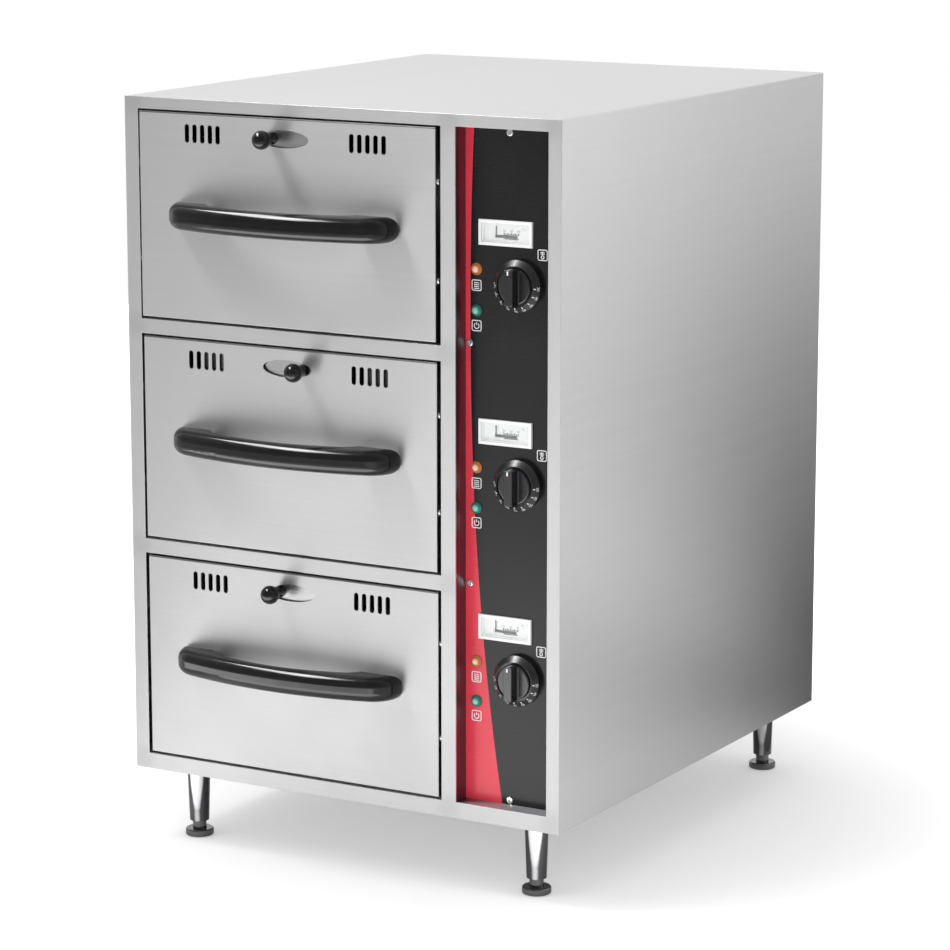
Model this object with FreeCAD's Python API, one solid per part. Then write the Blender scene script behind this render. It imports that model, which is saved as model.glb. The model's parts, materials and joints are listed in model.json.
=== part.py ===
import FreeCAD
import Part
import math
import os

from FreeCAD import Vector

# A three-drawer heated holding cabinet for food pans, standing on four adjustable legs.
# Millimetres. X runs left to right, Y runs from the drawer fronts to the back, Z is up.
# The origin lies on the floor, midway in the overall width and the overall depth.

# ---------------------------------------------------------------- driving dimensions
drawer_count = 3
drawer_opening_width = 379.5
drawer_opening_height = 230.0
panel_opening_width = 109.5
left_stile = 17.5
centre_stile = 18.0
right_stile = 15.5
top_rail = 13.0
middle_rail = 16.5
bottom_rail = 18.0
body_depth = 644.0
leg_height = 84.0

# Sheet thicknesses
skin_sheet = 1.2
frame_sheet = 1.5
liner_sheet = 1.0
deck_sheet = 1.2
cradle_sheet = 1.2
rail_sheet = 1.2
pan_sheet = 0.9
edge_round = 0.6
fold_round = 1.1

# Working allowances: how far a cutting shape runs past a face, and how far welded pieces run in
past = 1.0
weld_run = 0.2

# Cabinet shell
rear_corner_radius = 6.0
top_edge_radius = 2.0
rear_flange = 22.0
opening_flange_depth = 14.0
base_sheet = 1.5
base_flange = 13.0
rear_space = 40.0
rear_insulation = 20.0
side_insulation = 12.5
top_insulation = 9.0
wool_front_gap = 20.0
wool_panel_gap = 6.0
wool_floor_gap = 5.0
wool_hole_gap = 6.0
deck_flange = 9.0

# Louvre slots in the back panel and in the floor
back_vent_count = 8
back_vent_pitch = 8.0
back_vent_width = 4.0
back_vent_height = 34.0
back_vent_low = 150.0
back_vent_high = 114.0
floor_vent_count = 6
floor_vent_pitch = 14.0
floor_vent_width = 50.0
floor_vent_depth = 4.0
floor_vent_front = 150.0

# Control panel and what it carries: insets from the panel's left edge, heights from the underside
recess_depth = 22.0
recess_lip = 7.5
film_thickness = 0.4
unit_pitch = 210.5
lowest_dial_height = 156.5
dial_inset = 64.8
gauge_inset = 48.5
gauge_rise = 53.5
lamp_inset = 13.5
amber_rise = 14.0
green_rise = -29.5

# Dials: a sloped skirt, a disc in it, and a bar across the disc to grip
dial_diameter = 55.0
dial_top_diameter = 43.2
dial_rim = 6.0
dial_skirt_height = 11.5
grip_diameter = 38.2
disc_step = 1.5
bar_width = 10.0
bar_height = 12.0
bar_round = 1.2
bar_fillet = 1.9
ditch_depth = 2.5
ditch_lip = 0.4
shaft_diameter = 6.0
shaft_hole_gap = 2.0
shaft_clearance = 0.05
shaft_reach = 16.0
shaft_end_gap = 2.0
running_gap = 0.3

# Thermostats behind the panel
thermostat_width = 44.0
thermostat_height = 40.0
thermostat_depth = 30.0
thermostat_standoff = 4.0
thermostat_boss_diameter = 20.0

# Gauges: a rectangular case with an edgewise pointer
gauge_width = 63.5
gauge_height = 27.0
gauge_proud = 3.0
gauge_border = 3.2
gauge_body_inset = 3.0
gauge_depth = 37.0
gauge_wall = 1.5
gauge_card = 0.8
gauge_lens = 1.0
gauge_lens_setback = 0.2
gauge_hole_gap = 0.1
gauge_card_drop = 5.6
pointer_arm = 30.0
pointer_sweep = 45.0
pointer_width = 0.9
pointer_height = 12.0
pointer_flag_depth = 0.8
pointer_arm_height = 2.0
pointer_arm_drop = 4.0
pointer_hub_height = 8.0
pointer_hub_drop = 2.5
pointer_lens_gap = 1.0
pointer_slot_height = 3.2
pointer_slot_margin = 2.0
pointer_pin_diameter = 1.6
pointer_hub_diameter = 4.4
pointer_clearance = 0.12
scale_shift = -1.5

# Indicator lamps
lamp_lens_diameter = 10.0
lamp_dome = 4.0
lamp_bezel_diameter = 13.0
lamp_bezel_height = 1.4
lamp_body_length = 26.0
lamp_hole_gap = 0.1

# Drawers
front_width_gap = 7.5
front_top_gap = 2.0
front_bottom_gap = 3.0
front_proud = 1.0
front_box_depth = 22.0
front_side_shift = (-1.6, -0.4, 0.8)
slide_space = 13.0
cradle_depth = 62.0
cradle_rear_gap = 14.0
pan_rim_drop = 40.0
pan_floor_gap = 40.0
pan_side_margin = 15.75
pan_front_margin = 19.0
pan_rear_margin = 20.0
pan_rim_width = 11.0
pan_draft = 7.5
pan_corner_radius = 28.0
pan_rim_corner_radius = 12.0
pan_bottom_radius = 10.0
pan_clearance = 2.0
tab_gap = 3.0
tab_margin = 15.0
window_margin_x = 3.0
window_margin_z = 2.0

# Telescopic slides: nested channels
rail_height = 46.0
rail_gap = 0.5
rail_side_gap = 0.85
rail_front_gap = 3.0
rail_rear_gap = 6.0
rail_lip = 9.0

# Vents in the drawer fronts and the shutter behind them
vent_slots = 5
vent_slot_width = 5.6
vent_slot_height = 20.0
vent_pitch = 9.9
vent_group_offset = 103.9
vent_drop = 22.0
shutter_sheet = 1.0
shutter_height = 30.0
shutter_stand = 2.5
shutter_gap = 0.3
shutter_slot_width = 5.8
shutter_rest = (-16.0, 20.0, -14.0)
shutter_open_place = -13.4
shutter_spare_place = 21.4
guide_sheet = 1.0
guide_width = 3.0
guide_end_gap = 2.0
shutter_slot_margin = 1.0
shutter_spare_slots = 2
oval_length = 62.0
oval_height = 19.0
knob_ball_diameter = 20.4
knob_stem_diameter = 13.0
knob_reach = 19.0

# Bow handles
handle_length = 282.0
handle_foot_width = 47.0
handle_reach = 50.0
handle_thickness = 17.0
handle_height = 28.0
handle_rise = 118.5
handle_outer_bend = 36.0
handle_inner_bend = 20.0
handle_outer_round = 11.0
handle_inner_round = 4.0
handle_bore_depth = 10.0
handle_bore_gap = 0.1
handle_hole_gap = 0.2
handle_screw_diameter = 5.0
handle_screw_reach = 9.0
handle_screw_head_diameter = 9.0
handle_screw_head_height = 3.0

# Screws
screw_head_diameter = 7.5
screw_head_height = 1.4
screw_head_round = 0.84
screw_shank = 4.0
screw_length = 6.0
screw_clearance = 0.1
screw_head_clearance = 0.3
screw_recess = 0.85
cross_length = 4.2
cross_width = 0.9
side_screw_heights = (67.0, 171.0)
side_screw_setback = 8.0
back_screw_inset = 13.2
back_screw_end = 40.0
panel_screw_inset = 4.75
panel_screw_top_drop = 0.5
panel_screw_top_x = 52.5
panel_screw_bottom_x = 54.0
panel_screw_rises = (513.0, 255.0)

# Heating elements
element_diameter = 8.4
element_legs = 4
element_leg_pitch = 70.0
element_rise = 14.0
element_front = 80.0
element_rear_gap = 50.0
element_tail = 16.0
element_fitting_diameter = 16.4
element_fitting_length = 7.0
element_bend_flat = 0.01
bracket_front_gap = 90.0
bracket_rear_gap = 80.0
bracket_sheet = 1.5
bracket_clearance = 0.3
bracket_margin = 12.0

# Sensor bulbs and capillary tubes
bulb_diameter = 6.0
bulb_length = 90.0
capillary_diameter = 1.6
capillary_bend = 2.4
capillary_lead = 16.0
capillary_run_gap = 5.0
capillary_hole_gap = 0.6
capillary_post_gap = 8.0
capillary_panel_run = 50.0
capillary_end_shift = 12.0
bulb_side_gap = 0.2
bulb_rise = 60.0
bulb_spacing = 18.0
bulb_setback = 330.0

# Legs and feet
leg_inset_x = 52.0
leg_inset_front = 47.0
leg_inset_rear = 31.0
leg_top_diameter = 26.5
leg_end_diameter = 22.0
foot_gap = 17.5
foot_disc_diameter = 32.0
foot_disc_height = 8.0
foot_disc_round = 2.0
foot_neck_diameter = 15.6
foot_travel = 25.0
foot_grip = 13.0
foot_end_gap = 2.0
leg_bore_clearance = 0.3
stud_diameter = 10.0
stud_length = 14.0
stud_clearance = 0.25
nut_corner_radius = 9.8
nut_height = 6.0

# Cable gland and terminal block on the back
gland_bore = 8.4
gland_thread = 16.0
gland_head = 22.0
gland_reach = 14.0
gland_flange_diameter = 28.0
gland_flange_height = 3.0
gland_dome_round = 3.0
gland_nut_height = 5.0
gland_thread_reach = 10.0
gland_hole_gap = 0.15
gland_inset = 66.0
gland_height = 52.0
block_width = 70.0
block_depth = 22.0
block_height = 24.0
block_rise = 45.0
block_wells = 5
block_well_pitch = 14.0
block_well_width = 9.0
block_well_height = 16.0
block_well_depth = 9.0

# Wiring in the control space
loom_diameter = 9.0
loom_side = 34.0
loom_depth = 95.0
loom_low = 60.0
loom_top = 20.0
branch_diameter = 5.0
branch_bend = 12.0
branch_start = 25.0
branch_drop = 12.0
feed_diameter = 7.0
feed_bend = 15.0
feed_rise = 10.0
feed_run = 60.0

# ---------------------------------------------------------------- derived places
body_width = left_stile + drawer_opening_width + centre_stile + panel_opening_width + right_stile
body_height = (top_rail + bottom_rail + drawer_count * drawer_opening_height
               + (drawer_count - 1) * middle_rail)
handle_front = front_proud + handle_reach
x_left = -body_width / 2
x_right = body_width / 2
y_front = (handle_front - body_depth - gland_reach) / 2
y_back = y_front + body_depth
z_base = leg_height
z_top = leg_height + body_height

opening_left = x_left + left_stile
drawer_x = opening_left + drawer_opening_width / 2
opening_right = opening_left + drawer_opening_width
panel_left = opening_right + centre_stile
panel_right = panel_left + panel_opening_width
panel_bottom = z_base + bottom_rail
dial_x = panel_left + dial_inset
gauge_x = panel_left + gauge_inset
lamp_x = panel_left + lamp_inset
panel_top = z_top - top_rail

bay_half = drawer_opening_width / 2 + frame_sheet
bay_rear = y_back - rear_space
cradle_half = bay_half - slide_space
cradle_front = y_front - front_proud + front_box_depth
cradle_rear = bay_rear - cradle_rear_gap
pan_front = cradle_front + pan_front_margin
pan_rear = cradle_rear - pan_rear_margin
pan_half = cradle_half - pan_side_margin
rail_front = cradle_front + rail_front_gap
rail_rear = cradle_rear - rail_rear_gap

panel_face = y_front + recess_depth
film_face = panel_face - film_thickness
front_half = (drawer_opening_width - front_width_gap) / 2
front_face = y_front - front_proud
vent_line = front_top_gap + vent_drop
screw_hole = screw_shank + 2 * screw_clearance
element_hole = element_diameter + 2 * bracket_clearance
capillary_hole = capillary_diameter + 2 * capillary_hole_gap
gauge_face = film_face - gauge_proud


def opening_bottom(index):
    """Bottom of a drawer opening; index 0 is the top drawer."""
    return panel_top - drawer_opening_height - index * (drawer_opening_height + middle_rail)


def opening_top(index):
    return opening_bottom(index) + drawer_opening_height


def dial_z(index):
    return z_base + lowest_dial_height + (drawer_count - 1 - index) * unit_pitch


def cradle_top(index):
    return opening_top(index) - pan_rim_drop


def rail_z(index):
    return cradle_top(index) - cradle_depth / 2


# ---------------------------------------------------------------- shape helpers
def block(x, y, z):
    """A box from (low, high) pairs."""
    size = [pair[1] - pair[0] for pair in (x, y, z)]
    return Part.makeBox(size[0], size[1], size[2], Vector(x[0], y[0], z[0]))


def about(centre, half):
    return (centre - half, centre + half)


def rod(diameter, start, direction, length):
    return Part.makeCylinder(diameter / 2, length, Vector(*start), Vector(*direction))


def hole_along_y(diameter, x, z, y):
    """A round cutter that runs past both faces given by the pair y."""
    return rod(diameter, (x, y[0] - past, z), (0, 1, 0), y[1] - y[0] + 2 * past)


def joined(shapes):
    """Fuses overlapping or touching shapes into one clean solid."""
    whole = shapes[0].fuse(list(shapes[1:])) if len(shapes) > 1 else shapes[0]
    return whole.removeSplitter()


def together(shapes):
    """Groups separate solids in one node."""
    return Part.makeCompound(shapes)


def edges_on_plane(shape, axis, value):
    """Edges whose vertices all lie on one axis plane."""
    found = []
    for edge in shape.Edges:
        if all(abs(getattr(vertex.Point, axis) - value) < 1e-4 for vertex in edge.Vertexes):
            found.append(edge)
    return found


def round_front_edges(shape, y, radius):
    return shape.makeFillet(radius, edges_on_plane(shape, "y", y))


def upright_slot(x, z, width, height, y):
    """A round-ended vertical slot through the thickness given by the pair y."""
    depth = y[1] - y[0]
    straight = height / 2 - width / 2
    body = block(about(x, width / 2), y, about(z, straight))
    ends = [rod(width, (x, y[0], z + side * straight), (0, 1, 0), depth) for side in (-1, 1)]
    return joined([body] + ends)


def rounded_plate(half_x, half_y, radius, centre, z):
    """A wire of a rectangle with round corners in a level plane."""
    x0, x1 = centre[0] - half_x, centre[0] + half_x
    y0, y1 = centre[1] - half_y, centre[1] + half_y
    cut = radius * (1 - math.sqrt(0.5))
    corners = [
        ((x1 - radius, y0), (x1 - cut, y0 + cut), (x1, y0 + radius)),
        ((x1, y1 - radius), (x1 - cut, y1 - cut), (x1 - radius, y1)),
        ((x0 + radius, y1), (x0 + cut, y1 - cut), (x0, y1 - radius)),
        ((x0, y0 + radius), (x0 + cut, y0 + cut), (x0 + radius, y0)),
    ]
    edges = []
    for here, after in zip(corners, corners[1:] + corners[:1]):
        edges.append(Part.Arc(*[Vector(px, py, z) for px, py in here]).toShape())
        edges.append(Part.LineSegment(Vector(*here[2], z), Vector(*after[0], z)).toShape())
    return Part.Wire(edges)


def bent_tube(points, diameter, bend):
    """A round bar along straight runs joined by arcs of one bend radius."""
    corners = [Vector(*point) for point in points]
    edges = []
    start = corners[0]
    for before, corner, after in zip(corners, corners[1:], corners[2:]):
        inward = (before - corner).normalize()
        outward = (after - corner).normalize()
        turn = math.pi - inward.getAngle(outward)
        reach = bend * math.tan(turn / 2)
        first = corner + inward * reach
        last = corner + outward * reach
        middle = (inward + outward).normalize()
        rise = bend / math.cos(turn / 2) - bend
        edges.append(Part.LineSegment(start, first).toShape())
        edges.append(Part.Arc(first, corner + middle * rise, last).toShape())
        start = last
    edges.append(Part.LineSegment(start, corners[-1]).toShape())
    path = Part.Wire(edges)
    heading = (corners[1] - corners[0]).normalize()
    section = Part.Wire(Part.makeCircle(diameter / 2, corners[0], heading))
    return path.makePipeShell([section], True, True)


def pan_head_screw(place, outward):
    """A pan-head screw; place is the underside of its head and outward points out of the head."""
    away = Vector(*outward)
    seat = Vector(*place)
    cap = Part.makeCylinder(screw_head_diameter / 2, screw_head_height, seat, away)
    cap = cap.makeFillet(screw_head_round, [cap.Edges[0]])
    shank = Part.makeCylinder(screw_shank / 2, screw_length, seat, away * -1)
    side = away.cross(Vector(0, 0, 1))
    up = away.cross(side)
    screw = cap.fuse(shank)
    for along, across in ((side, up), (up, side)):
        arm = Part.makeBox(cross_length, cross_width, 2 * screw_recess)
        arm.Placement = FreeCAD.Placement(FreeCAD.Matrix(
            along.x, across.x, away.x, 0, along.y, across.y, away.y, 0,
            along.z, across.z, away.z, 0, 0, 0, 0, 1))
        middle = arm.BoundBox.Center
        arm.translate(seat + away * screw_head_height - middle)
        screw = screw.cut(arm)
    return screw


# ---------------------------------------------------------------- cabinet shell
def outer_wrap():
    """Top and both sides in one folded sheet, with flanges turned in along the back."""
    def hull(inset):
        box = block((x_left + inset, x_right - inset), (y_front + frame_sheet, y_back - inset),
                    (z_base, z_top - inset))
        rear = [e for e in edges_on_plane(box, "y", y_back - inset)
                if abs(e.tangentAt(e.FirstParameter).z) > 0.9]
        box = box.makeFillet(rear_corner_radius - inset, rear)
        if top_edge_radius > inset:
            top = [e for e in edges_on_plane(box, "z", z_top - inset)
                   if e.CenterOfMass.y > y_front + frame_sheet + past]
            box = box.makeFillet(top_edge_radius - inset, top)
        return box
    shell = hull(0).cut(hull(skin_sheet))
    gap = block((x_left + rear_flange, x_right - rear_flange),
                (y_back - 2 * skin_sheet, y_back + past), (z_base - past, z_top - rear_flange))
    holes = [hole_along_y(screw_hole, x, z, (y_back - skin_sheet, y_back))
             for x, z in back_screw_places()]
    return shell.cut([gap] + holes)


def flange_block(x, z, depth):
    """The block that becomes a sheet flange once its opening is cut."""
    return block((x[0] - frame_sheet, x[1] + frame_sheet), (y_front, y_front + depth),
                 (z[0] - frame_sheet, z[1] + frame_sheet))


def front_frame():
    """Front sheet with a flange turned back round each opening and a ledge for the control panel."""
    plate = block((x_left, x_right), (y_front, y_front + frame_sheet), (z_base, z_top))
    spans = [((opening_left, opening_right), (opening_bottom(i), opening_top(i)), opening_flange_depth)
             for i in range(drawer_count)]
    recess_end = recess_depth + skin_sheet + frame_sheet
    spans.append(((panel_left, panel_right), (panel_bottom, panel_top), recess_end))
    frame = joined([plate] + [flange_block(*span) for span in spans])
    for x, z, depth in spans[:-1]:
        frame = frame.cut(block(x, (y_front - past, y_front + depth + past), z))
    x, z, depth = spans[-1]
    frame = frame.cut(block(x, (y_front - past, y_front + depth - frame_sheet), z))
    lip_x = (x[0] + recess_lip, x[1] - recess_lip)
    lip_z = (z[0] + recess_lip, z[1] - recess_lip)
    frame = frame.cut(block(lip_x, (y_front, y_front + depth + past), lip_z))
    ledge = (y_front + depth - frame_sheet, y_front + depth)
    frame = frame.cut([hole_along_y(screw_hole, sx, sz, ledge) for sx, sz in panel_screw_places()])
    return round_front_edges(frame, y_front, edge_round)


def gland_place():
    return (panel_left + gland_inset, z_base + gland_height)


def back_screw_places():
    half = body_width / 2 - back_screw_inset
    rows = (z_base + back_screw_end, z_base + body_height / 2, z_top - back_screw_end)
    return [(side * half, z) for side in (-1, 1) for z in rows]


def back_panel():
    y = (y_back - 2 * skin_sheet, y_back - skin_sheet)
    inset = rear_corner_radius + past
    panel = block((x_left + inset, x_right - inset), y, (z_base + base_sheet, z_top - inset))
    gx, gz = gland_place()
    cuts = [hole_along_y(gland_thread + 2 * gland_hole_gap, gx, gz, y)]
    first = gx - (back_vent_count - 1) * back_vent_pitch / 2
    for row in (z_base + back_vent_low, z_top - back_vent_high):
        for k in range(back_vent_count):
            cuts.append(upright_slot(first + k * back_vent_pitch, row, back_vent_width,
                                     back_vent_height, (y[0] - past, y[1] + past)))
    cuts += [hole_along_y(screw_hole, x, z, y) for x, z in back_screw_places()]
    return panel.cut(cuts)


def leg_places():
    """Name and centre of each leg."""
    left, right = x_left + leg_inset_x, x_right - leg_inset_x
    front, rear = y_front + leg_inset_front, y_back - leg_inset_rear
    return {"front_left": (left, front), "front_right": (right, front),
            "rear_left": (left, rear), "rear_right": (right, rear)}


def base_panel():
    """Floor tray with its edges turned up."""
    x = (x_left + skin_sheet, x_right - skin_sheet)
    y = (y_front + frame_sheet, y_back - rear_corner_radius)
    tray = block(x, y, (z_base, z_base + base_flange))
    inside = block((x[0] + base_sheet, x[1] - base_sheet), (y[0] + base_sheet, y[1] - base_sheet),
                   (z_base + base_sheet, z_base + base_flange + past))
    tray = tray.cut(inside)
    cuts = [rod(stud_diameter + 2 * stud_clearance, (px, py, z_base - past), (0, 0, 1),
                base_sheet + 2 * past) for px, py in leg_places().values()]
    for k in range(floor_vent_count):
        line = y_front + floor_vent_front + k * floor_vent_pitch
        cuts.append(block(about(dial_x, floor_vent_width / 2), about(line, floor_vent_depth / 2),
                          (z_base - past, z_base + base_sheet + past)))
    return tray.cut(cuts)


# ---------------------------------------------------------------- heated bays
def element_leg_x():
    first = -(element_legs - 1) / 2
    return [drawer_x + (first + k) * element_leg_pitch for k in range(element_legs)]


def bulb_places(index):
    """Centres, front ends, of the two sensor bulbs of a bay."""
    x = drawer_x + bay_half - bulb_diameter / 2 - bulb_side_gap
    low = opening_bottom(index) + bulb_rise
    return [(x, y_front + bulb_setback, low), (x, y_front + bulb_setback, low + bulb_spacing)]


def bay_liner():
    """One folded liner round all the bays: sides, top and back."""
    low = opening_bottom(drawer_count - 1) - frame_sheet - deck_sheet
    high = panel_top + frame_sheet
    x = (drawer_x - bay_half, drawer_x + bay_half)
    y = (y_front + frame_sheet, bay_rear)
    outer = block((x[0] - liner_sheet, x[1] + liner_sheet), (y[0], y[1] + liner_sheet),
                  (low, high + liner_sheet))
    liner = outer.cut(block(x, (y[0] - past, y[1]), (low - past, high)))
    cuts = []
    for index in range(drawer_count):
        z = opening_bottom(index) + element_rise
        for leg in (element_leg_x()[0], element_leg_x()[-1]):
            cuts.append(hole_along_y(element_hole, leg, z, (y[1], y[1] + liner_sheet)))
        for bx, by, bz in bulb_places(index):
            cuts.append(rod(capillary_hole, (x[1] - past, by - capillary_lead, bz), (1, 0, 0),
                            liner_sheet + 2 * past))
    return liner.cut(cuts)


def bay_deck(index):
    """Floor of one bay, with two upright strips that hold the heating element."""
    top = opening_bottom(index) - frame_sheet
    x = (drawer_x - bay_half, drawer_x + bay_half)
    y = (y_front + frame_sheet, bay_rear)
    lowest = index == drawer_count - 1
    flange_bottom = z_base + base_sheet if lowest else top - deck_sheet - deck_flange
    flange_y = (y[0] + base_sheet, y[1])
    parts = [block(x, y, (top - deck_sheet, top))]
    for side in ((x[0], x[0] + deck_sheet), (x[1] - deck_sheet, x[1])):
        parts.append(block(side, flange_y, (flange_bottom, top - deck_sheet)))
    legs = element_leg_x()
    z = opening_bottom(index) + element_rise
    span = (legs[0] - bracket_margin, legs[-1] + bracket_margin)
    strips = []
    for where in (y_front + element_front + bracket_front_gap,
                  bay_rear - element_rear_gap - bracket_rear_gap):
        strips.append(block(span, (where, where + bracket_sheet),
                            (top - weld_run, z + element_diameter)))
    deck = joined(parts + strips)
    return deck.cut([hole_along_y(element_hole, leg, z, (y_front + element_front, bay_rear))
                     for leg in legs])


def heating_element(index):
    """Sheathed element bent to and fro over the floor of a bay, with both ends through the back."""
    legs = element_leg_x()
    z = opening_bottom(index) + element_rise
    front = y_front + element_front
    rear = bay_rear - element_rear_gap
    end = bay_rear + liner_sheet + element_tail
    points = [(legs[0], end, z)]
    for k in range(element_legs - 1):
        turn = front if k % 2 == 0 else rear
        points += [(legs[k], turn, z), (legs[k + 1], turn, z)]
    points.append((legs[-1], end, z))
    bend = element_leg_pitch / 2 - element_bend_flat
    tube = bent_tube(points, element_diameter, bend)
    fittings = [rod(element_fitting_diameter, (leg, bay_rear + liner_sheet, z), (0, 1, 0),
                    element_fitting_length) for leg in (legs[0], legs[-1])]
    return joined([tube] + fittings)


def insulation():
    """Mineral wool boards: left side, top, back, and beside the control space."""
    side_y = (y_front + frame_sheet + wool_front_gap, bay_rear + liner_sheet)
    low, high = z_base + base_flange + wool_floor_gap, panel_top + frame_sheet
    left_face = drawer_x - bay_half - liner_sheet
    right_face = drawer_x + bay_half + liner_sheet
    top_face = high + liner_sheet
    boards = [
        block((left_face - side_insulation, left_face), side_y, (low, high)),
        block((right_face, right_face + side_insulation),
              (y_front + recess_depth + wool_panel_gap, side_y[1]), (low, high)),
        block((left_face, right_face), side_y, (top_face, top_face + top_insulation)),
        block((left_face, right_face), (side_y[1], side_y[1] + rear_insulation), (low, high)),
    ]
    cuts = []
    for index in range(drawer_count):
        z = opening_bottom(index) + element_rise
        for leg in (element_leg_x()[0], element_leg_x()[-1]):
            cuts.append(hole_along_y(element_fitting_diameter + 2 * wool_hole_gap, leg, z,
                                     (side_y[1], side_y[1] + rear_insulation)))
        for bx, by, bz in bulb_places(index):
            cuts.append(rod(capillary_hole, (right_face - past, by - capillary_lead, bz), (1, 0, 0),
                            side_insulation + 2 * past))
    return together([board.cut(cuts) for board in boards])


# ---------------------------------------------------------------- telescopic slides
def channel(side, web, tip, height, y, z):
    """A channel section lying along Y: web and tip are distances from the drawer's middle."""
    low, high = sorted((drawer_x + side * web, drawer_x + side * tip))
    outer = block((low, high), y, about(z, height / 2))
    step = rail_sheet if web > tip else -rail_sheet
    low, high = sorted((drawer_x + side * (web - step), drawer_x + side * (tip - step)))
    inner = block((low, high), (y[0] - past, y[1] + past), about(z, height / 2 - rail_sheet))
    return outer.cut(inner)


def rail_pair(web, tip, height, z):
    return together([channel(side, web, tip, height, (rail_front, rail_rear), z) for side in (-1, 1)])


middle_web = bay_half - rail_sheet - rail_side_gap
middle_rail_height = rail_height - 2 * rail_sheet - 2 * rail_gap
drawer_rail_height = middle_rail_height - 2 * rail_sheet - 2 * rail_gap


def cabinet_rails():
    pairs = [rail_pair(bay_half, bay_half - rail_lip, rail_height, rail_z(i)) for i in range(drawer_count)]
    return together([solid for pair in pairs for solid in pair.Solids])


def middle_rails(index):
    return rail_pair(middle_web, middle_web - rail_lip, middle_rail_height, rail_z(index))


def drawer_rails(index):
    tip = middle_web - rail_sheet - rail_side_gap
    return rail_pair(cradle_half, tip, drawer_rail_height, rail_z(index))


# ---------------------------------------------------------------- drawers
def front_x(index):
    return drawer_x + front_side_shift[index]


def vent_z(index):
    return opening_top(index) - vent_line


def vent_x(index):
    """Centres of the slots of both groups."""
    middle = (vent_slots - 1) / 2
    return [front_x(index) + group * vent_group_offset + (k - middle) * vent_pitch
            for group in (-1, 1) for k in range(vent_slots)]


def handle_screw_x(index):
    reach = handle_length / 2 - handle_foot_width / 2
    return [front_x(index) + side * reach for side in (-1, 1)]


def drawer_front(index):
    """Folded outer skin of the drawer front with the shutter guides welded behind it."""
    middle = front_x(index)
    x = about(middle, front_half)
    y = (front_face, front_face + front_box_depth)
    z = (opening_bottom(index) + front_bottom_gap, opening_top(index) - front_top_gap)
    box = block(x, y, z)
    inside = block((x[0] + skin_sheet, x[1] - skin_sheet), (y[0] + skin_sheet, y[1] + past),
                   (z[0] + skin_sheet, z[1] - skin_sheet))
    skin = round_front_edges(box, y[0], fold_round).cut(inside)
    back = y[0] + skin_sheet
    slide = back + shutter_stand + shutter_sheet + shutter_gap
    ledge = back + shutter_stand - shutter_gap
    line = vent_z(index)
    half = shutter_height / 2
    guide_x = about(middle, front_half - skin_sheet - guide_end_gap)
    guides = []
    for side in (-1, 1):
        edge = line + side * (half + running_gap)
        far = edge + side * guide_width
        lip = edge - side * guide_width
        guides.append(block(guide_x, (back, slide), sorted((edge, far))))
        guides.append(block(guide_x, (back, ledge), sorted((lip, far))))
        guides.append(block(guide_x, (slide, slide + guide_sheet), sorted((lip, far))))
    skin = joined([skin] + guides)
    through = (y[0] - past, back + shutter_gap / 2)
    cuts = [upright_slot(vx, line, vent_slot_width, vent_slot_height, through) for vx in vent_x(index)]
    oval = Part.Ellipse(Vector(0, 0, 0), oval_length / 2, oval_height / 2)
    window = Part.Face(Part.Wire(oval.toShape())).extrude(Vector(0, 0, through[1] - through[0]))
    window.rotate(Vector(0, 0, 0), Vector(1, 0, 0), 90)
    window.translate(Vector(middle, through[1], line))
    cuts.append(window)
    grip_z = opening_bottom(index) + handle_rise
    for hx in handle_screw_x(index):
        cuts.append(hole_along_y(handle_screw_diameter + 2 * handle_hole_gap, hx, grip_z, (y[0], back)))
    for height in side_screw_heights:
        start = (x[0] - past, y[0] + side_screw_setback, opening_bottom(index) + height)
        cuts.append(rod(screw_hole, start, (1, 0, 0), 2 * (front_half + past)))
    return skin.cut(cuts)


def drawer_frame(index):
    """Inner front panel and the open frame that carries the pan by its rim."""
    middle = front_x(index)
    panel_x = about(middle, front_half - skin_sheet)
    panel_z = (opening_bottom(index) + front_bottom_gap + skin_sheet,
               opening_top(index) - front_top_gap - skin_sheet)
    inner = block(panel_x, (cradle_front - cradle_sheet, cradle_front), panel_z)
    tab_y = (front_face + skin_sheet + tab_gap, cradle_front)
    tab_z = (opening_bottom(index) + side_screw_heights[0] - tab_margin,
             opening_bottom(index) + side_screw_heights[1] + tab_margin)
    tabs = [block((panel_x[0], panel_x[0] + cradle_sheet), tab_y, tab_z),
            block((panel_x[1] - cradle_sheet, panel_x[1]), tab_y, tab_z)]
    top = cradle_top(index)
    low = top - cradle_depth
    outer = block(about(drawer_x, cradle_half), (cradle_front, cradle_rear), (low, top))
    hollow = block(about(drawer_x, cradle_half - cradle_sheet),
                   (cradle_front - past, cradle_rear - cradle_sheet), (low - past, top - cradle_sheet))
    ledge = pan_rim_width - pan_clearance
    seat = block(about(drawer_x, pan_half - ledge), (pan_front + ledge, pan_rear - ledge),
                 (low - past, top + past))
    frame = joined([inner] + tabs + [outer.cut(hollow).cut(seat)])
    cuts = []
    for side in (-1, 1):
        window_x = about(middle + side * vent_group_offset, vent_slots * vent_pitch / 2 + window_margin_x)
        cuts.append(block(window_x, (cradle_front - cradle_sheet - past, cradle_front + past),
                          about(vent_z(index), vent_slot_height / 2 + window_margin_z)))
    for height in side_screw_heights:
        start = (middle - front_half, front_face + side_screw_setback, opening_bottom(index) + height)
        cuts.append(rod(screw_hole, start, (1, 0, 0), 2 * front_half))
    return frame.cut(cuts)


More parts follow.
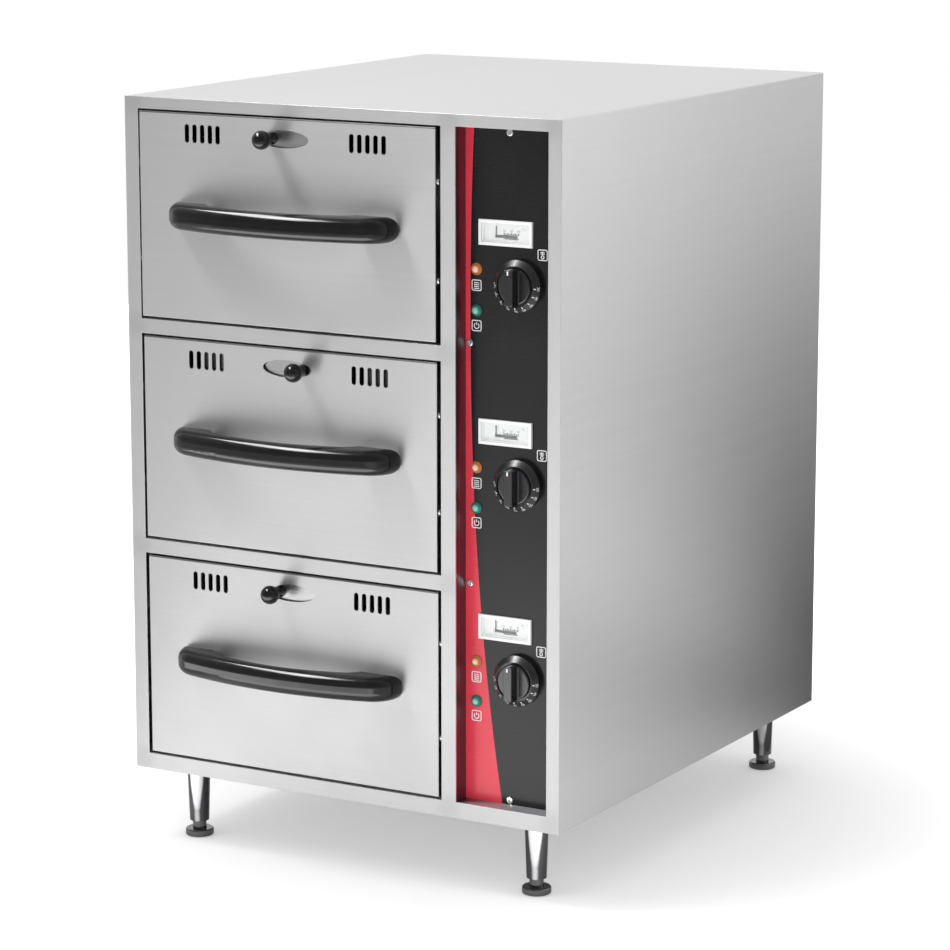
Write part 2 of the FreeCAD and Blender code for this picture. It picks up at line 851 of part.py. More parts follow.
def food_pan(index):
    """Deep food pan: rolled-out rim, drafted walls, rounded bottom."""
    rim_z = cradle_top(index)
    floor_z = opening_bottom(index) + pan_floor_gap
    centre = (drawer_x, (pan_front + pan_rear) / 2)
    half_y = (pan_rear - pan_front) / 2

    def bowl(inset, low, high):
        wide, deep = pan_half - pan_rim_width - inset, half_y - pan_rim_width - inset
        top = rounded_plate(wide, deep, pan_corner_radius - inset, centre, high)
        foot = rounded_plate(wide - pan_draft, deep - pan_draft, pan_corner_radius - inset, centre, low)
        solid = Part.makeLoft([foot, top], True, True)
        return solid.makeFillet(pan_bottom_radius - inset, edges_on_plane(solid, "z", low))
    rim_wire = rounded_plate(pan_half, half_y, pan_rim_corner_radius, centre, rim_z)
    rim = Part.Face(rim_wire).extrude(Vector(0, 0, pan_sheet))
    outside = bowl(0, floor_z, rim_z + pan_sheet)
    inside = bowl(pan_sheet, floor_z + pan_sheet, rim_z + 2 * pan_sheet)
    return joined([rim, outside]).cut(inside)


def bow(half, bend, reach):
    """Half of a closed plan: two end arcs and a shallow one between them, tangent to each other."""
    side, deep = half - bend, reach - bend
    back = (side ** 2 - deep ** 2) / (2 * deep)
    lean = Vector(-side, -back, 0).normalize()
    arcs = []
    joint = Vector(-side, 0, 0) + lean * bend
    belly = Vector(-side, 0, 0) + (lean + Vector(-1, 0, 0)).normalize() * bend
    mirrored = Vector(-joint.x, joint.y, 0)
    arcs.append(Part.Arc(Vector(-half, 0, 0), belly, joint).toShape())
    arcs.append(Part.Arc(joint, Vector(0, -reach, 0), mirrored).toShape())
    arcs.append(Part.Arc(mirrored, Vector(-belly.x, belly.y, 0), Vector(half, 0, 0)).toShape())
    return arcs


def handle(index):
    """Bow handle: a rounded bow in plan, with broad feet against the drawer front."""
    half = handle_length / 2
    inner_half = half - handle_foot_width
    outer = bow(half, handle_outer_bend, handle_reach)
    inner = bow(inner_half, handle_inner_bend, handle_reach - handle_thickness)
    feet = [Part.LineSegment(Vector(side * inner_half, 0, 0), Vector(side * half, 0, 0)).toShape()
            for side in (-1, 1)]
    plan = Part.Wire(Part.__sortEdges__(outer + inner + feet))
    solid = Part.Face(plan).extrude(Vector(0, 0, handle_height))
    solid.translate(Vector(0, 0, -handle_height / 2))
    for arcs, radius in ((outer, handle_outer_round), (inner, handle_inner_round)):
        lengths = [arc.Length for arc in arcs]
        rims = [e for e in solid.Edges if abs(e.tangentAt(e.FirstParameter).z) < 0.5
                and any(abs(e.Length - length) < 0.01 for length in lengths)]
        solid = solid.makeFillet(radius, rims)
    grip_z = opening_bottom(index) + handle_rise
    solid.translate(Vector(front_x(index), front_face, grip_z))
    bores = [rod(handle_screw_diameter + 2 * handle_bore_gap, (hx, front_face - handle_bore_depth, grip_z),
                 (0, 1, 0), handle_bore_depth + past) for hx in handle_screw_x(index)]
    return solid.cut(bores)


def vent_shutter(index):
    """Sliding plate behind the vent slots, with a slot for each slot of the drawer front."""
    line = vent_z(index)
    place = front_x(index) + shutter_rest[index]
    front = front_face + skin_sheet + shutter_stand
    y = (front, front + shutter_sheet)
    end = vent_group_offset + vent_slots * vent_pitch
    plate = block((place - end, place + end - vent_pitch), y, about(line, shutter_height / 2))
    middle = (vent_slots - 1) / 2
    slots = [(k - middle) * vent_pitch - shutter_open_place for k in range(vent_slots)]
    slots += [(k - middle) * vent_pitch - shutter_spare_place for k in range(shutter_spare_slots)]
    cuts = [upright_slot(place + group * vent_group_offset + u, line, shutter_slot_width,
                         vent_slot_height + 2 * shutter_slot_margin, (y[0] - past, y[1] + past))
            for group in (-1, 1) for u in slots]
    return plate.cut(cuts)


def vent_knob(index):
    """Ball knob on a stout stem, fixed to the shutter through the oval window."""
    seat = front_face + skin_sheet + shutter_stand
    place = (front_x(index) + shutter_rest[index], seat, vent_z(index))
    stem = rod(knob_stem_diameter, place, (0, -1, 0), seat - (front_face - knob_reach))
    centre = Vector(place[0], front_face - knob_reach, place[2])
    return joined([stem, Part.makeSphere(knob_ball_diameter / 2, centre)])


def drawer_screws(index):
    """Screws through the side flanges, and the two that hold the handle from behind."""
    middle = front_x(index)
    y = front_face + side_screw_setback
    screws = []
    for side in (-1, 1):
        for height in side_screw_heights:
            place = (middle + side * front_half, y, opening_bottom(index) + height)
            screws.append(pan_head_screw(place, (side, 0, 0)))
    z = opening_bottom(index) + handle_rise
    for hx in handle_screw_x(index):
        head = rod(handle_screw_head_diameter, (hx, front_face + skin_sheet, z), (0, 1, 0),
                   handle_screw_head_height)
        shank = rod(handle_screw_diameter, (hx, front_face - handle_screw_reach, z), (0, 1, 0),
                    handle_screw_reach + skin_sheet + weld_run)
        screws.append(joined([head, shank]))
    return together(screws)


# ---------------------------------------------------------------- control panel
def panel_screw_places():
    """Four screws along the edge of the control panel: top, bottom and two at the left."""
    ends = [(panel_left + panel_screw_top_x, panel_top - panel_screw_inset - panel_screw_top_drop),
            (panel_left + panel_screw_bottom_x, panel_bottom + panel_screw_inset)]
    return ends + [(panel_left + panel_screw_inset, z_base + rise) for rise in panel_screw_rises]


def panel_cutouts(y):
    """Holes for shafts, lamps and gauges through the sheet between the pair y."""
    cuts = []
    for index in range(drawer_count):
        z = dial_z(index)
        cuts.append(hole_along_y(shaft_diameter + 2 * shaft_hole_gap, dial_x, z, y))
        for rise in (amber_rise, green_rise):
            cuts.append(hole_along_y(lamp_lens_diameter + 2 * lamp_hole_gap, lamp_x, z + rise, y))
        half_x = gauge_width / 2 - gauge_body_inset + gauge_hole_gap
        half_z = gauge_height / 2 - gauge_body_inset + gauge_hole_gap
        cuts.append(block(about(gauge_x, half_x), (y[0] - past, y[1] + past),
                          about(z + gauge_rise, half_z)))
    return cuts


def control_panel():
    y = (panel_face, panel_face + skin_sheet)
    plate = block((panel_left, panel_right), y, (panel_bottom, panel_top))
    holes = [hole_along_y(screw_hole, x, z, y) for x, z in panel_screw_places()]
    return plate.cut(panel_cutouts(y) + holes)


def panel_film():
    """Printed film on the face of the control panel."""
    y = (film_face, panel_face)
    film = block((panel_left, panel_right), y, (panel_bottom, panel_top))
    holes = [hole_along_y(screw_head_diameter + 2 * screw_head_clearance, x, z, y)
             for x, z in panel_screw_places()]
    return film.cut(panel_cutouts(y) + holes)


def cabinet_screws():
    screws = [pan_head_screw((x, panel_face, z), (0, -1, 0)) for x, z in panel_screw_places()]
    screws += [pan_head_screw((x, y_back, z), (0, 1, 0)) for x, z in back_screw_places()]
    return together(screws)


def gauge_centre(index):
    return (gauge_x, dial_z(index) + gauge_rise)


def gauge_case(index):
    """White case with a recessed scale card; the pointer swings in the space behind the card."""
    x, z = gauge_centre(index)
    half_x, half_z = gauge_width / 2, gauge_height / 2
    face = gauge_face
    back = face + gauge_depth
    bezel = block(about(x, half_x), (face, film_face), about(z, half_z))
    bezel = round_front_edges(bezel, face, edge_round)
    body_x, body_z = half_x - gauge_body_inset, half_z - gauge_body_inset
    body = block(about(x, body_x), (film_face, back), about(z, body_z))
    case = joined([bezel, body])
    card = face + gauge_card_drop
    window_deep = block(about(x, body_x - gauge_wall), (film_face, card), about(z, body_z - gauge_wall))
    front_cut = block(about(x, half_x - gauge_border), (face - past, film_face),
                      about(z, half_z - gauge_border))
    rear_cut = block(about(x, body_x - gauge_wall), (card + gauge_card, back - gauge_wall),
                     about(z, body_z - gauge_wall))
    slot_half = pointer_arm * math.sin(math.radians(pointer_sweep / 2)) + pointer_slot_margin
    slot = block(about(x + scale_shift, slot_half), (card - past, card + gauge_card + past),
                 about(pointer_line(z), pointer_slot_height / 2))
    case = case.cut([front_cut, window_deep, rear_cut, slot])
    pin = rod(pointer_pin_diameter, (*pointer_pivot(index)[:2], z - body_z + gauge_wall / 2), (0, 0, 1),
              2 * body_z - gauge_wall)
    return joined([case, pin])


def pointer_line(z):
    """Height of the pointer's arm in its slot."""
    return z - pointer_arm_drop


def pointer_pivot(index):
    """Axis of the pointer: its arm ends just behind the lens."""
    x, z = gauge_centre(index)
    tip = gauge_face + gauge_lens + pointer_lens_gap
    return (x + scale_shift, tip + pointer_arm, z)


def gauge_lens_plate(index):
    x, z = gauge_centre(index)
    face = gauge_face + gauge_lens_setback
    half_x, half_z = gauge_width / 2 - gauge_border, gauge_height / 2 - gauge_border
    return block(about(x, half_x), (face, face + gauge_lens), about(z, half_z))


def gauge_pointer(index):
    """Flag, arm and hub; it rests at the low end of its sweep."""
    px, py, z = pointer_pivot(index)
    line = pointer_line(z)
    foot_of_flag = line - pointer_arm_height / 2
    flag = block(about(px, pointer_width / 2), (py - pointer_arm, py - pointer_arm + pointer_flag_depth),
                 (foot_of_flag, foot_of_flag + pointer_height))
    arm = block(about(px, pointer_width / 2), (py - pointer_arm, py), about(line, pointer_arm_height / 2))
    hub = rod(pointer_hub_diameter, (px, py, line - pointer_hub_drop), (0, 0, 1), pointer_hub_height)
    pointer = joined([flag, arm, hub])
    bore = rod(pointer_pin_diameter + 2 * pointer_clearance, (px, py, z - gauge_height), (0, 0, 1),
               2 * gauge_height)
    pointer = pointer.cut(bore)
    pointer.rotate(Vector(px, py, z), Vector(0, 0, 1), -pointer_sweep / 2)
    return pointer


def indicator_lamp(z):
    """Domed lens with its lamp body behind the panel."""
    x = lamp_x
    radius = lamp_lens_diameter / 2
    curve = (radius ** 2 + lamp_dome ** 2) / (2 * lamp_dome)
    rim = film_face - lamp_bezel_height
    ball = Part.makeSphere(curve, Vector(x, rim - lamp_dome + curve, z))
    keep = rod(lamp_lens_diameter, (x, rim - lamp_dome - past, z), (0, 1, 0), lamp_dome + past)
    body = rod(lamp_lens_diameter, (x, rim, z), (0, 1, 0), lamp_body_length)
    return joined([ball.common(keep), body])


def lamp_group(rise):
    return together([indicator_lamp(dial_z(i) + rise) for i in range(drawer_count)])


def lamp_bezels():
    rings = []
    for index in range(drawer_count):
        for rise in (amber_rise, green_rise):
            x, z = lamp_x, dial_z(index) + rise
            y = (film_face - lamp_bezel_height, film_face)
            disc = rod(lamp_bezel_diameter, (x, y[0], z), (0, 1, 0), lamp_bezel_height)
            disc = round_front_edges(disc, y[0], edge_round)
            rings.append(disc.cut(hole_along_y(lamp_lens_diameter, x, z, y)))
    return together(rings)


def thermostats():
    """Switch bodies behind the panel, each with a blind bore for the dial's shaft."""
    bodies = []
    front = panel_face + skin_sheet
    for index in range(drawer_count):
        x, z = dial_x, dial_z(index)
        case = block(about(x, thermostat_width / 2), (front + thermostat_standoff, front + thermostat_depth),
                     about(z, thermostat_height / 2))
        boss = rod(thermostat_boss_diameter, (x, front, z), (0, 1, 0), thermostat_standoff + weld_run)
        bore = rod(shaft_diameter + 2 * shaft_clearance, (x, front - past, z), (0, 1, 0),
                   shaft_reach + shaft_end_gap + past)
        bodies.append(joined([case, boss]).cut(bore))
    return together(bodies)


def dial(index):
    """Numbered skirt, disc with its grip bar, and the shaft that enters the thermostat."""
    x, z = dial_x, dial_z(index)
    base = film_face - running_gap
    rim = rod(dial_diameter, (x, base, z), (0, -1, 0), dial_rim)
    cone = Part.makeCone(dial_diameter / 2, dial_top_diameter / 2, dial_skirt_height - dial_rim,
                         Vector(x, base - dial_rim, z), Vector(0, -1, 0))
    top = base - dial_skirt_height
    disc_face = top - disc_step
    face = disc_face - bar_height
    disc = rod(grip_diameter, (x, base, z), (0, -1, 0), base - disc_face)
    bar = rod(grip_diameter, (x, base, z), (0, -1, 0), base - face)
    bar = bar.common(block(about(x, bar_width / 2), (face, base), about(z, grip_diameter / 2)))
    grip = joined([disc, bar])
    roots = [e for e in edges_on_plane(grip, "y", disc_face)
             if all(abs(abs(v.Point.x - x) - bar_width / 2) < 1e-4 for v in e.Vertexes)]
    grip = round_front_edges(grip.makeFillet(bar_fillet, roots), face, bar_round)
    ditch = rod(dial_top_diameter - 2 * ditch_lip, (x, top + ditch_depth, z), (0, -1, 0),
                ditch_depth + past)
    skirt = joined([rim, cone]).cut(ditch)
    shaft = rod(shaft_diameter, (x, base - weld_run, z), (0, 1, 0),
                panel_face + skin_sheet + shaft_reach - base + weld_run)
    return joined([skirt, grip, shaft])


def sensor_bulbs():
    """Two bulbs in each bay, with capillaries that run to the thermostat and to the gauge."""
    solids = []
    x_run = drawer_x + bay_half + liner_sheet + side_insulation + capillary_post_gap
    thermostat_back = panel_face + skin_sheet + thermostat_depth
    gauge_back = gauge_face + gauge_depth
    for index in range(drawer_count):
        ends = [(dial_x + capillary_end_shift, thermostat_back, dial_z(index)),
                (gauge_x + capillary_end_shift, gauge_back, dial_z(index) + gauge_rise)]
        for lane, ((bx, by, bz), (ex, ey, ez)) in enumerate(zip(bulb_places(index), ends)):
            bulb = rod(bulb_diameter, (bx, by, bz), (0, 1, 0), bulb_length)
            turn = by - capillary_lead
            x = x_run + lane * capillary_run_gap
            y = thermostat_back + capillary_panel_run + lane * capillary_run_gap
            points = [(bx, by + past, bz), (bx, turn, bz), (x, turn, bz), (x, y, bz),
                      (x, y, ez), (ex, y, ez), (ex, ey, ez)]
            solids.append(joined([bulb, bent_tube(points, capillary_diameter, capillary_bend)]))
    return together(solids)


# ---------------------------------------------------------------- electrics, legs
def terminal_block():
    """Moulded block with a row of wells, on the back panel above the gland."""
    gx, gz = gland_place()
    low = gz + block_rise
    back = y_back - 2 * skin_sheet
    front = back - block_depth
    body = block(about(gx, block_width / 2), (front, back), (low, low + block_height))
    first = gx - (block_wells - 1) * block_well_pitch / 2
    wells = [block(about(first + k * block_well_pitch, block_well_width / 2),
                   (front - past, front + block_well_depth),
                   about(low + block_height / 2, block_well_height / 2)) for k in range(block_wells)]
    return body.cut(wells)


def cable_gland():
    """Gland clamped through the back panel: flange and dome outside, nut and thread inside."""
    gx, gz = gland_place()
    outside = y_back - skin_sheet
    inside = y_back - 2 * skin_sheet
    tip = y_back + gland_reach
    span = (inside - gland_thread_reach, tip)
    thread = rod(gland_thread, (gx, span[0], gz), (0, 1, 0), outside + gland_flange_height - span[0])
    flange = rod(gland_flange_diameter, (gx, outside, gz), (0, 1, 0), gland_flange_height)
    dome = rod(gland_head, (gx, outside, gz), (0, 1, 0), tip - outside)
    dome = dome.makeFillet(gland_dome_round, edges_on_plane(dome, "y", tip))
    nut = rod(gland_head, (gx, inside - gland_nut_height, gz), (0, 1, 0), gland_nut_height)
    return joined([thread, flange, dome, nut]).cut(hole_along_y(gland_bore, gx, gz, span))


def wiring_loom():
    """Tied bundle in the control space, with a branch to each thermostat and one to the terminals."""
    x = dial_x + loom_side
    y = panel_face + loom_depth
    low = z_base + loom_low
    solids = [rod(loom_diameter, (x, y, low), (0, 0, 1), dial_z(0) - low + loom_top)]
    start = panel_face + skin_sheet + thermostat_depth
    for index in range(drawer_count):
        z = dial_z(index) - branch_drop
        points = [(x - branch_start, start, z), (x - branch_start, y, z), (x, y, z)]
        solids.append(bent_tube(points, branch_diameter, branch_bend))
    block_middle = gland_place()[1] + block_rise + block_height / 2
    block_front = y_back - 2 * skin_sheet - block_depth
    points = [(x, y, low + feed_rise), (x, y + feed_run, low + feed_rise),
              (x, y + feed_run, block_middle), (x, block_front, block_middle)]
    solids.append(bent_tube(points, feed_diameter, feed_bend))
    return joined(solids)


def leg_tube(place):
    """Tapered leg with a stud and nut through the floor of the cabinet and a bore for the foot."""
    x, y = place
    length = leg_height - foot_gap
    tube = Part.makeCone(leg_end_diameter / 2, leg_top_diameter / 2, length, Vector(x, y, foot_gap))
    stud = rod(stud_diameter, (x, y, z_base - weld_run), (0, 0, 1), stud_length + weld_run)
    turns = [math.radians(60 * k) for k in range(7)]
    corners = [Vector(x + nut_corner_radius * math.cos(turn), y + nut_corner_radius * math.sin(turn),
                      z_base + base_sheet) for turn in turns]
    nut = Part.Face(Part.makePolygon(corners)).extrude(Vector(0, 0, nut_height))
    bore = rod(foot_neck_diameter + 2 * leg_bore_clearance, (x, y, foot_gap - past), (0, 0, 1),
               foot_travel + foot_grip + foot_end_gap + past)
    return joined([tube, stud, nut]).cut(bore)


def foot(place):
    """Screw-in foot: flanged disc, neck and the threaded stem inside the leg."""
    x, y = place
    disc = rod(foot_disc_diameter, (x, y, 0), (0, 0, 1), foot_disc_height)
    disc = disc.makeFillet(foot_disc_round, [e for e in disc.Edges if len(e.Vertexes) == 1])
    stem = rod(foot_neck_diameter, (x, y, foot_disc_height - weld_run), (0, 0, 1),
               foot_gap + foot_travel + foot_grip - foot_disc_height + weld_run)
    return joined([disc, stem])


# ---------------------------------------------------------------- the assembly
def assembly():
    nodes = {
        "outer_wrap": outer_wrap(),
        "front_frame": front_frame(),
        "back_panel": back_panel(),
        "base_panel": base_panel(),
        "bay_liner": bay_liner(),
        "bay_decks": together([bay_deck(i) for i in range(drawer_count)]),
        "insulation": insulation(),
        "heating_elements": together([heating_element(i) for i in range(drawer_count)]),
        "cabinet_rails": cabinet_rails(),
        "control_panel": control_panel(),
        "panel_film": panel_film(),
        "cabinet_screws": cabinet_screws(),
        "gauge_cases": together([gauge_case(i) for i in range(drawer_count)]),
        "gauge_lenses": together([gauge_lens_plate(i) for i in range(drawer_count)]),
        "amber_lamps": lamp_group(amber_rise),
        "green_lamps": lamp_group(green_rise),
        "lamp_bezels": lamp_bezels(),
        "thermostats": thermostats(),
        "sensor_bulbs": sensor_bulbs(),
        "terminal_block": terminal_block(),
        "cable_gland": cable_gland(),
        "wiring_loom": wiring_loom(),
        "leg_tubes": together([leg_tube(place) for place in leg_places().values()]),
    }
    for name, place in leg_places().items():
        nodes["foot_" + name] = foot(place)
    for index in range(drawer_count):
        number = str(index + 1)
        nodes["drawer_front_" + number] = drawer_front(index)
        nodes["drawer_frame_" + number] = drawer_frame(index)
        nodes["drawer_rails_" + number] = drawer_rails(index)
        nodes["middle_rails_" + number] = middle_rails(index)
        nodes["food_pan_" + number] = food_pan(index)
        nodes["handle_" + number] = handle(index)
        nodes["vent_shutter_" + number] = vent_shutter(index)
        nodes["vent_knob_" + number] = vent_knob(index)
        nodes["drawer_screws_" + number] = drawer_screws(index)
        nodes["dial_" + number] = dial(index)
        nodes["gauge_pointer_" + number] = gauge_pointer(index)
    return nodes


os.makedirs("parts", exist_ok=True)
for node_name, node_shape in assembly().items():
    node_shape.exportStep("parts/" + node_name + ".step")
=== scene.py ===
import json
import math

import bmesh
import bpy
from mathutils import Matrix, Vector


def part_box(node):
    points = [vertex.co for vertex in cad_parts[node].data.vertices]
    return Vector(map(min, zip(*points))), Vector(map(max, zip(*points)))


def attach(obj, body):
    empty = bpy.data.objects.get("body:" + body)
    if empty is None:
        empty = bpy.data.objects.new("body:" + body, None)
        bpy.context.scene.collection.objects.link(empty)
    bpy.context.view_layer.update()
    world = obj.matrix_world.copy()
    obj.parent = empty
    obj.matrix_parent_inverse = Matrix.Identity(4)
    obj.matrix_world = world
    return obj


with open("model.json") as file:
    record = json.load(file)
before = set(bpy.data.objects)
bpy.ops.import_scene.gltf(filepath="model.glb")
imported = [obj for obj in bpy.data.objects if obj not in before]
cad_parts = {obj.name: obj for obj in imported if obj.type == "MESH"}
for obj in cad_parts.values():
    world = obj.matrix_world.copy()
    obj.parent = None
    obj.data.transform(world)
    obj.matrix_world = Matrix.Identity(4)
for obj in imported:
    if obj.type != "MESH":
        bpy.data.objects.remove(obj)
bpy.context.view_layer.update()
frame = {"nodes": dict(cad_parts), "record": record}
nodes = frame["nodes"]

# Lengths are metres, unless a name says otherwise.
UNITS = (1, 2, 3)
MM = 0.001
WHITE = (1.0, 1.0, 1.0)

CAMERA_AZIMUTH, CAMERA_ELEVATION = math.radians(29.775), math.radians(11.2825)
CAMERA_PLACE = (2.0066, -3.5161, 1.1997)
CAMERA_LENS_MM, CAMERA_SENSOR_MM = 136.65, 36.0
CAMERA_NEAR, CAMERA_FAR = 0.1, 60.0

# Noise scales across and along brushed lines, and the grains they make along x, y, z.
FINE, LONG = 1100.0, 9.0
GRAIN_X = (LONG, LONG, FINE)
GRAIN_Y = (FINE, LONG, FINE)
GRAIN_Z = (FINE, FINE, LONG)
HAIRLINES = (700.0, 700.0, 40.0)

FRONT = (0.715, 0.715, 0.718)
# red print, with its green and blue raised as a painted reflection of white
RED_WITH_REFLECTION = (0.73, 0.047, 0.074)
BLACK = (0.006, 0.006, 0.0065)

# The red band of the panel film: where its edge turns, and how far and how steeply it bows out.
BAND_INSET, BAND_TURN = 0.0058, 0.545
BAND_SPAN, BAND_BOW, BAND_POWER = 0.524, 0.0385, 2.2

INK_GAP, INK_DEPTH = 0.00002, 0.00004
FIGURE_EM = 1.38                    # font size for figures of height 1
LENS_RADIUS = 0.005
BEZEL_REACH = 0.012

SIGN_HALF, SIGN_CORNER, SIGN_LINE = 0.0054, 0.0016, 0.0010
SIGN_SCALE = 0.85 * MM              # marks inside the frames are drawn in these units
LAMP_COLUMN, PROBE_COLUMN = 0.4282, 0.5065
HEAT_DROP, POWER_DROP, PROBE_RISE = 0.0032, 0.0458, 0.0335

GAUGE_RISE, GAUGE_PROUD, CARD_DROP = 0.0535, 0.003, 0.0056
SCALE_LEFT, SCALE_RIGHT, SCALE_STEPS = 0.0038, 0.0133, 8
SLOT_BELOW, SLOT_ABOVE = 0.0062, 0.0023
LONG_TICK, SHORT_TICK, TICK_WIDTH = 0.0024, 0.0015, 0.0014

DIAL_GAP, DIAL_RIM, DIAL_SKIRT = 0.0003, 0.0060, 0.0115
DIAL_RIM_RADIUS, DIAL_TOP_RADIUS = 0.0275, 0.0216
BAR_FACE, BAR_END = 0.0250, 0.0191
FIRST_MARK, MARK_STEP, MARKS = 92.3, 22.06, 9


def grey(value):
    return (value, value, value)


def scaled(values, factor):
    return tuple(v * factor for v in values)


def centre(node):
    low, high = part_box(node)
    return (low + high) / 2


# ---------------------------------------------------------------- camera
def aim(obj, place, heading):
    """Puts a camera or lamp at a place, looking along heading with Z up."""
    obj.location = place
    obj.rotation_mode = "QUATERNION"
    obj.rotation_quaternion = heading.to_track_quat("-Z", "Y")


def make_camera():
    level = math.cos(CAMERA_ELEVATION)
    heading = Vector((-math.sin(CAMERA_AZIMUTH) * level, math.cos(CAMERA_AZIMUTH) * level,
                      -math.sin(CAMERA_ELEVATION)))
    data = bpy.data.cameras.new("camera")
    data.lens = CAMERA_LENS_MM
    data.sensor_width = CAMERA_SENSOR_MM
    data.clip_start, data.clip_end = CAMERA_NEAR, CAMERA_FAR
    camera = bpy.data.objects.new("camera", data)
    bpy.context.scene.collection.objects.link(camera)
    aim(camera, Vector(CAMERA_PLACE), heading)
    bpy.context.scene.camera = camera


make_camera()


# ---------------------------------------------------------------- shader helpers
class Tree:
    """An emptied node tree. Each call adds a node and returns the socket that is asked for."""

    def __init__(self, tree):
        self.tree = tree
        tree.nodes.clear()

    def add(self, kind, inputs=None, out=0, **settings):
        node = self.tree.nodes.new("ShaderNode" + kind)
        for key, value in settings.items():
            setattr(node, key, value)
        for key, value in (inputs or {}).items():
            self.plug(node.inputs[key], value)
        return node.outputs[out]

    def plug(self, socket, value):
        if isinstance(value, bpy.types.NodeSocket):
            self.tree.links.new(value, socket)
        elif isinstance(value, tuple) and len(value) == 3 and socket.type == "RGBA":
            socket.default_value = (*value, 1.0)
        else:
            socket.default_value = value

    def split(self, vector):
        return tuple(self.add("SeparateXYZ", {0: vector}).node.outputs)

    def math(self, operation, a, b=0.0, clamp=False):
        return self.add("Math", {0: a, 1: b}, operation=operation, use_clamp=clamp)

    def gather(self, operation, values, clamp=False):
        """One value from several, by a Math operation on each pair."""
        found, *others = values
        for value in others:
            found = self.math(operation, found, value, clamp)
        return found

    def remap(self, value, low, high, to_low, to_high, smooth=False):
        kind = "SMOOTHSTEP" if smooth else "LINEAR"
        return self.add("MapRange", {"Value": value, "From Min": low, "From Max": high,
                                     "To Min": to_low, "To Max": to_high},
                        interpolation_type=kind)

    def mix(self, factor, a, b):
        """Mix of two colours."""
        return self.add("Mix", {0: factor, 6: a, 7: b}, out=2, data_type="RGBA")

    def blend(self, factor, a, b):
        """Mix of two numbers."""
        return self.add("Mix", {0: factor, 2: a, 3: b}, data_type="FLOAT")

    def mottle(self, noise, a, b):
        """Mix of two colours over the middle range of a noise."""
        return self.mix(self.remap(noise, 0.3, 0.7, 0.0, 1.0), a, b)

    def seen_by(self, *kinds):
        """1 for rays of any of the kinds."""
        path = self.add("LightPath").node
        return self.gather("MAXIMUM", [path.outputs[kind] for kind in kinds])


class Shader(Tree):
    """A material with one main shader."""

    def __init__(self, name):
        self.mat = bpy.data.materials.new(name)
        self.mat.use_nodes = True
        super().__init__(self.mat.node_tree)
        end = self.tree.nodes.new("ShaderNodeOutputMaterial")
        surface = self.add("BsdfPrincipled")
        self.bsdf = surface.node
        self.tree.links.new(surface, end.inputs["Surface"])

    def set(self, **values):
        """Sets inputs of the main shader: words are joined with spaces."""
        for key, value in values.items():
            self.plug(self.bsdf.inputs[key.replace("_", " ")], value)
        return self.mat

    def where(self):
        return self.add("TexCoord", out="Object")

    def axes(self):
        return self.split(self.where())

    def stretched(self, scale, offset=(0.0, 0.0, 0.0)):
        return self.add("Mapping", {"Vector": self.where(), "Location": offset, "Scale": scale})

    def noise(self, vector, scale=1.0, detail=2.0, roughness=0.5):
        return self.add("TexNoise", {"Vector": vector, "Scale": scale, "Detail": detail,
                                     "Roughness": roughness})

    def bump(self, height, strength, distance):
        return self.add("Bump", {"Height": height, "Strength": strength, "Distance": distance})

    def inside(self, value, low, high, soft):
        """1 where value lies between low and high, with soft edges."""
        rise = self.remap(value, low - soft, low + soft, 0.0, 1.0, True)
        fall = self.remap(value, high - soft, high + soft, 1.0, 0.0, True)
        return self.math("MULTIPLY", rise, fall)

    def nearest(self, points, radius, soft):
        """1 near any of the points, falling to 0 at radius plus soft."""
        gaps = [self.add("VectorMath", {0: self.where(), 1: point}, out="Value",
                         operation="DISTANCE") for point in points]
        return self.remap(self.gather("MINIMUM", gaps), radius - soft, radius + soft,
                          1.0, 0.0, True)


# ---------------------------------------------------------------- metals
def steel(name, colour, rough, grain, tint=0.032, cross=None, mask=None, patches=None,
          spread=0.75, painted_shade=None, shade=grey(0.21)):
    """Brushed sheet. grain and cross are noise scales along x, y, z, and mask chooses cross.
    patches are ground without a grain, and painted_shade is a mask of painted shade that turns to
    the colour shade."""
    s = Shader(name)

    def layers(scale):
        fine = s.noise(s.stretched(scale), 1.0, 3.0, 0.6)
        broad = s.noise(s.stretched(scaled(scale, 0.17), (3.1, 1.7, 0.9)), 1.0, 2.0)
        return s.math("ADD", s.math("MULTIPLY", fine, 0.6), s.math("MULTIPLY", broad, 0.4))

    streak = layers(grain)
    if cross is not None:
        streak = s.blend(mask(s), streak, layers(cross))
    if patches is not None:
        ground_flush = patches(s)
        streak = s.blend(ground_flush, streak, s.noise(s.where(), 420.0, 4.0, 0.7))
    cloud = s.noise(s.where(), 3.2, 4.0, 0.55)
    prints = s.noise(s.where(), 21.0, 3.0, 0.6)
    base = s.mottle(streak, scaled(colour, 1.0 - tint), scaled(colour, 1.0 + tint))
    base = s.mix(s.remap(cloud, 0.35, 0.7, 0.0, 0.4), base, scaled(colour, 0.97))
    if patches is not None:
        base = s.mix(ground_flush, base, scaled(colour, 0.90))
    # painted shade: the masked places turn to the colour shade
    if painted_shade is not None:
        base = s.mix(painted_shade(s), base, shade)
    gloss = s.gather("ADD", (s.remap(streak, 0.25, 0.75, rough - 0.02, rough + 0.03),
                             s.remap(prints, 0.45, 0.75, 0.0, 0.02),
                             s.remap(cloud, 0.3, 0.7, -0.01, 0.015)))
    across = s.add("CombineXYZ", {0: 0.0, 1: 0.05, 2: 1.0})
    return s.set(Base_Color=base, Metallic=1.0, Roughness=gloss, Anisotropic=spread,
                 Tangent=across, Normal=s.bump(streak, 0.035, 0.0001))


box_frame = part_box("front_frame")
box_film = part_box("panel_film")
box_fronts = {k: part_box("drawer_front_%d" % k) for k in UNITS}
opening_x = (box_fronts[1][0].x - 0.004, box_fronts[1][1].x + 0.004)


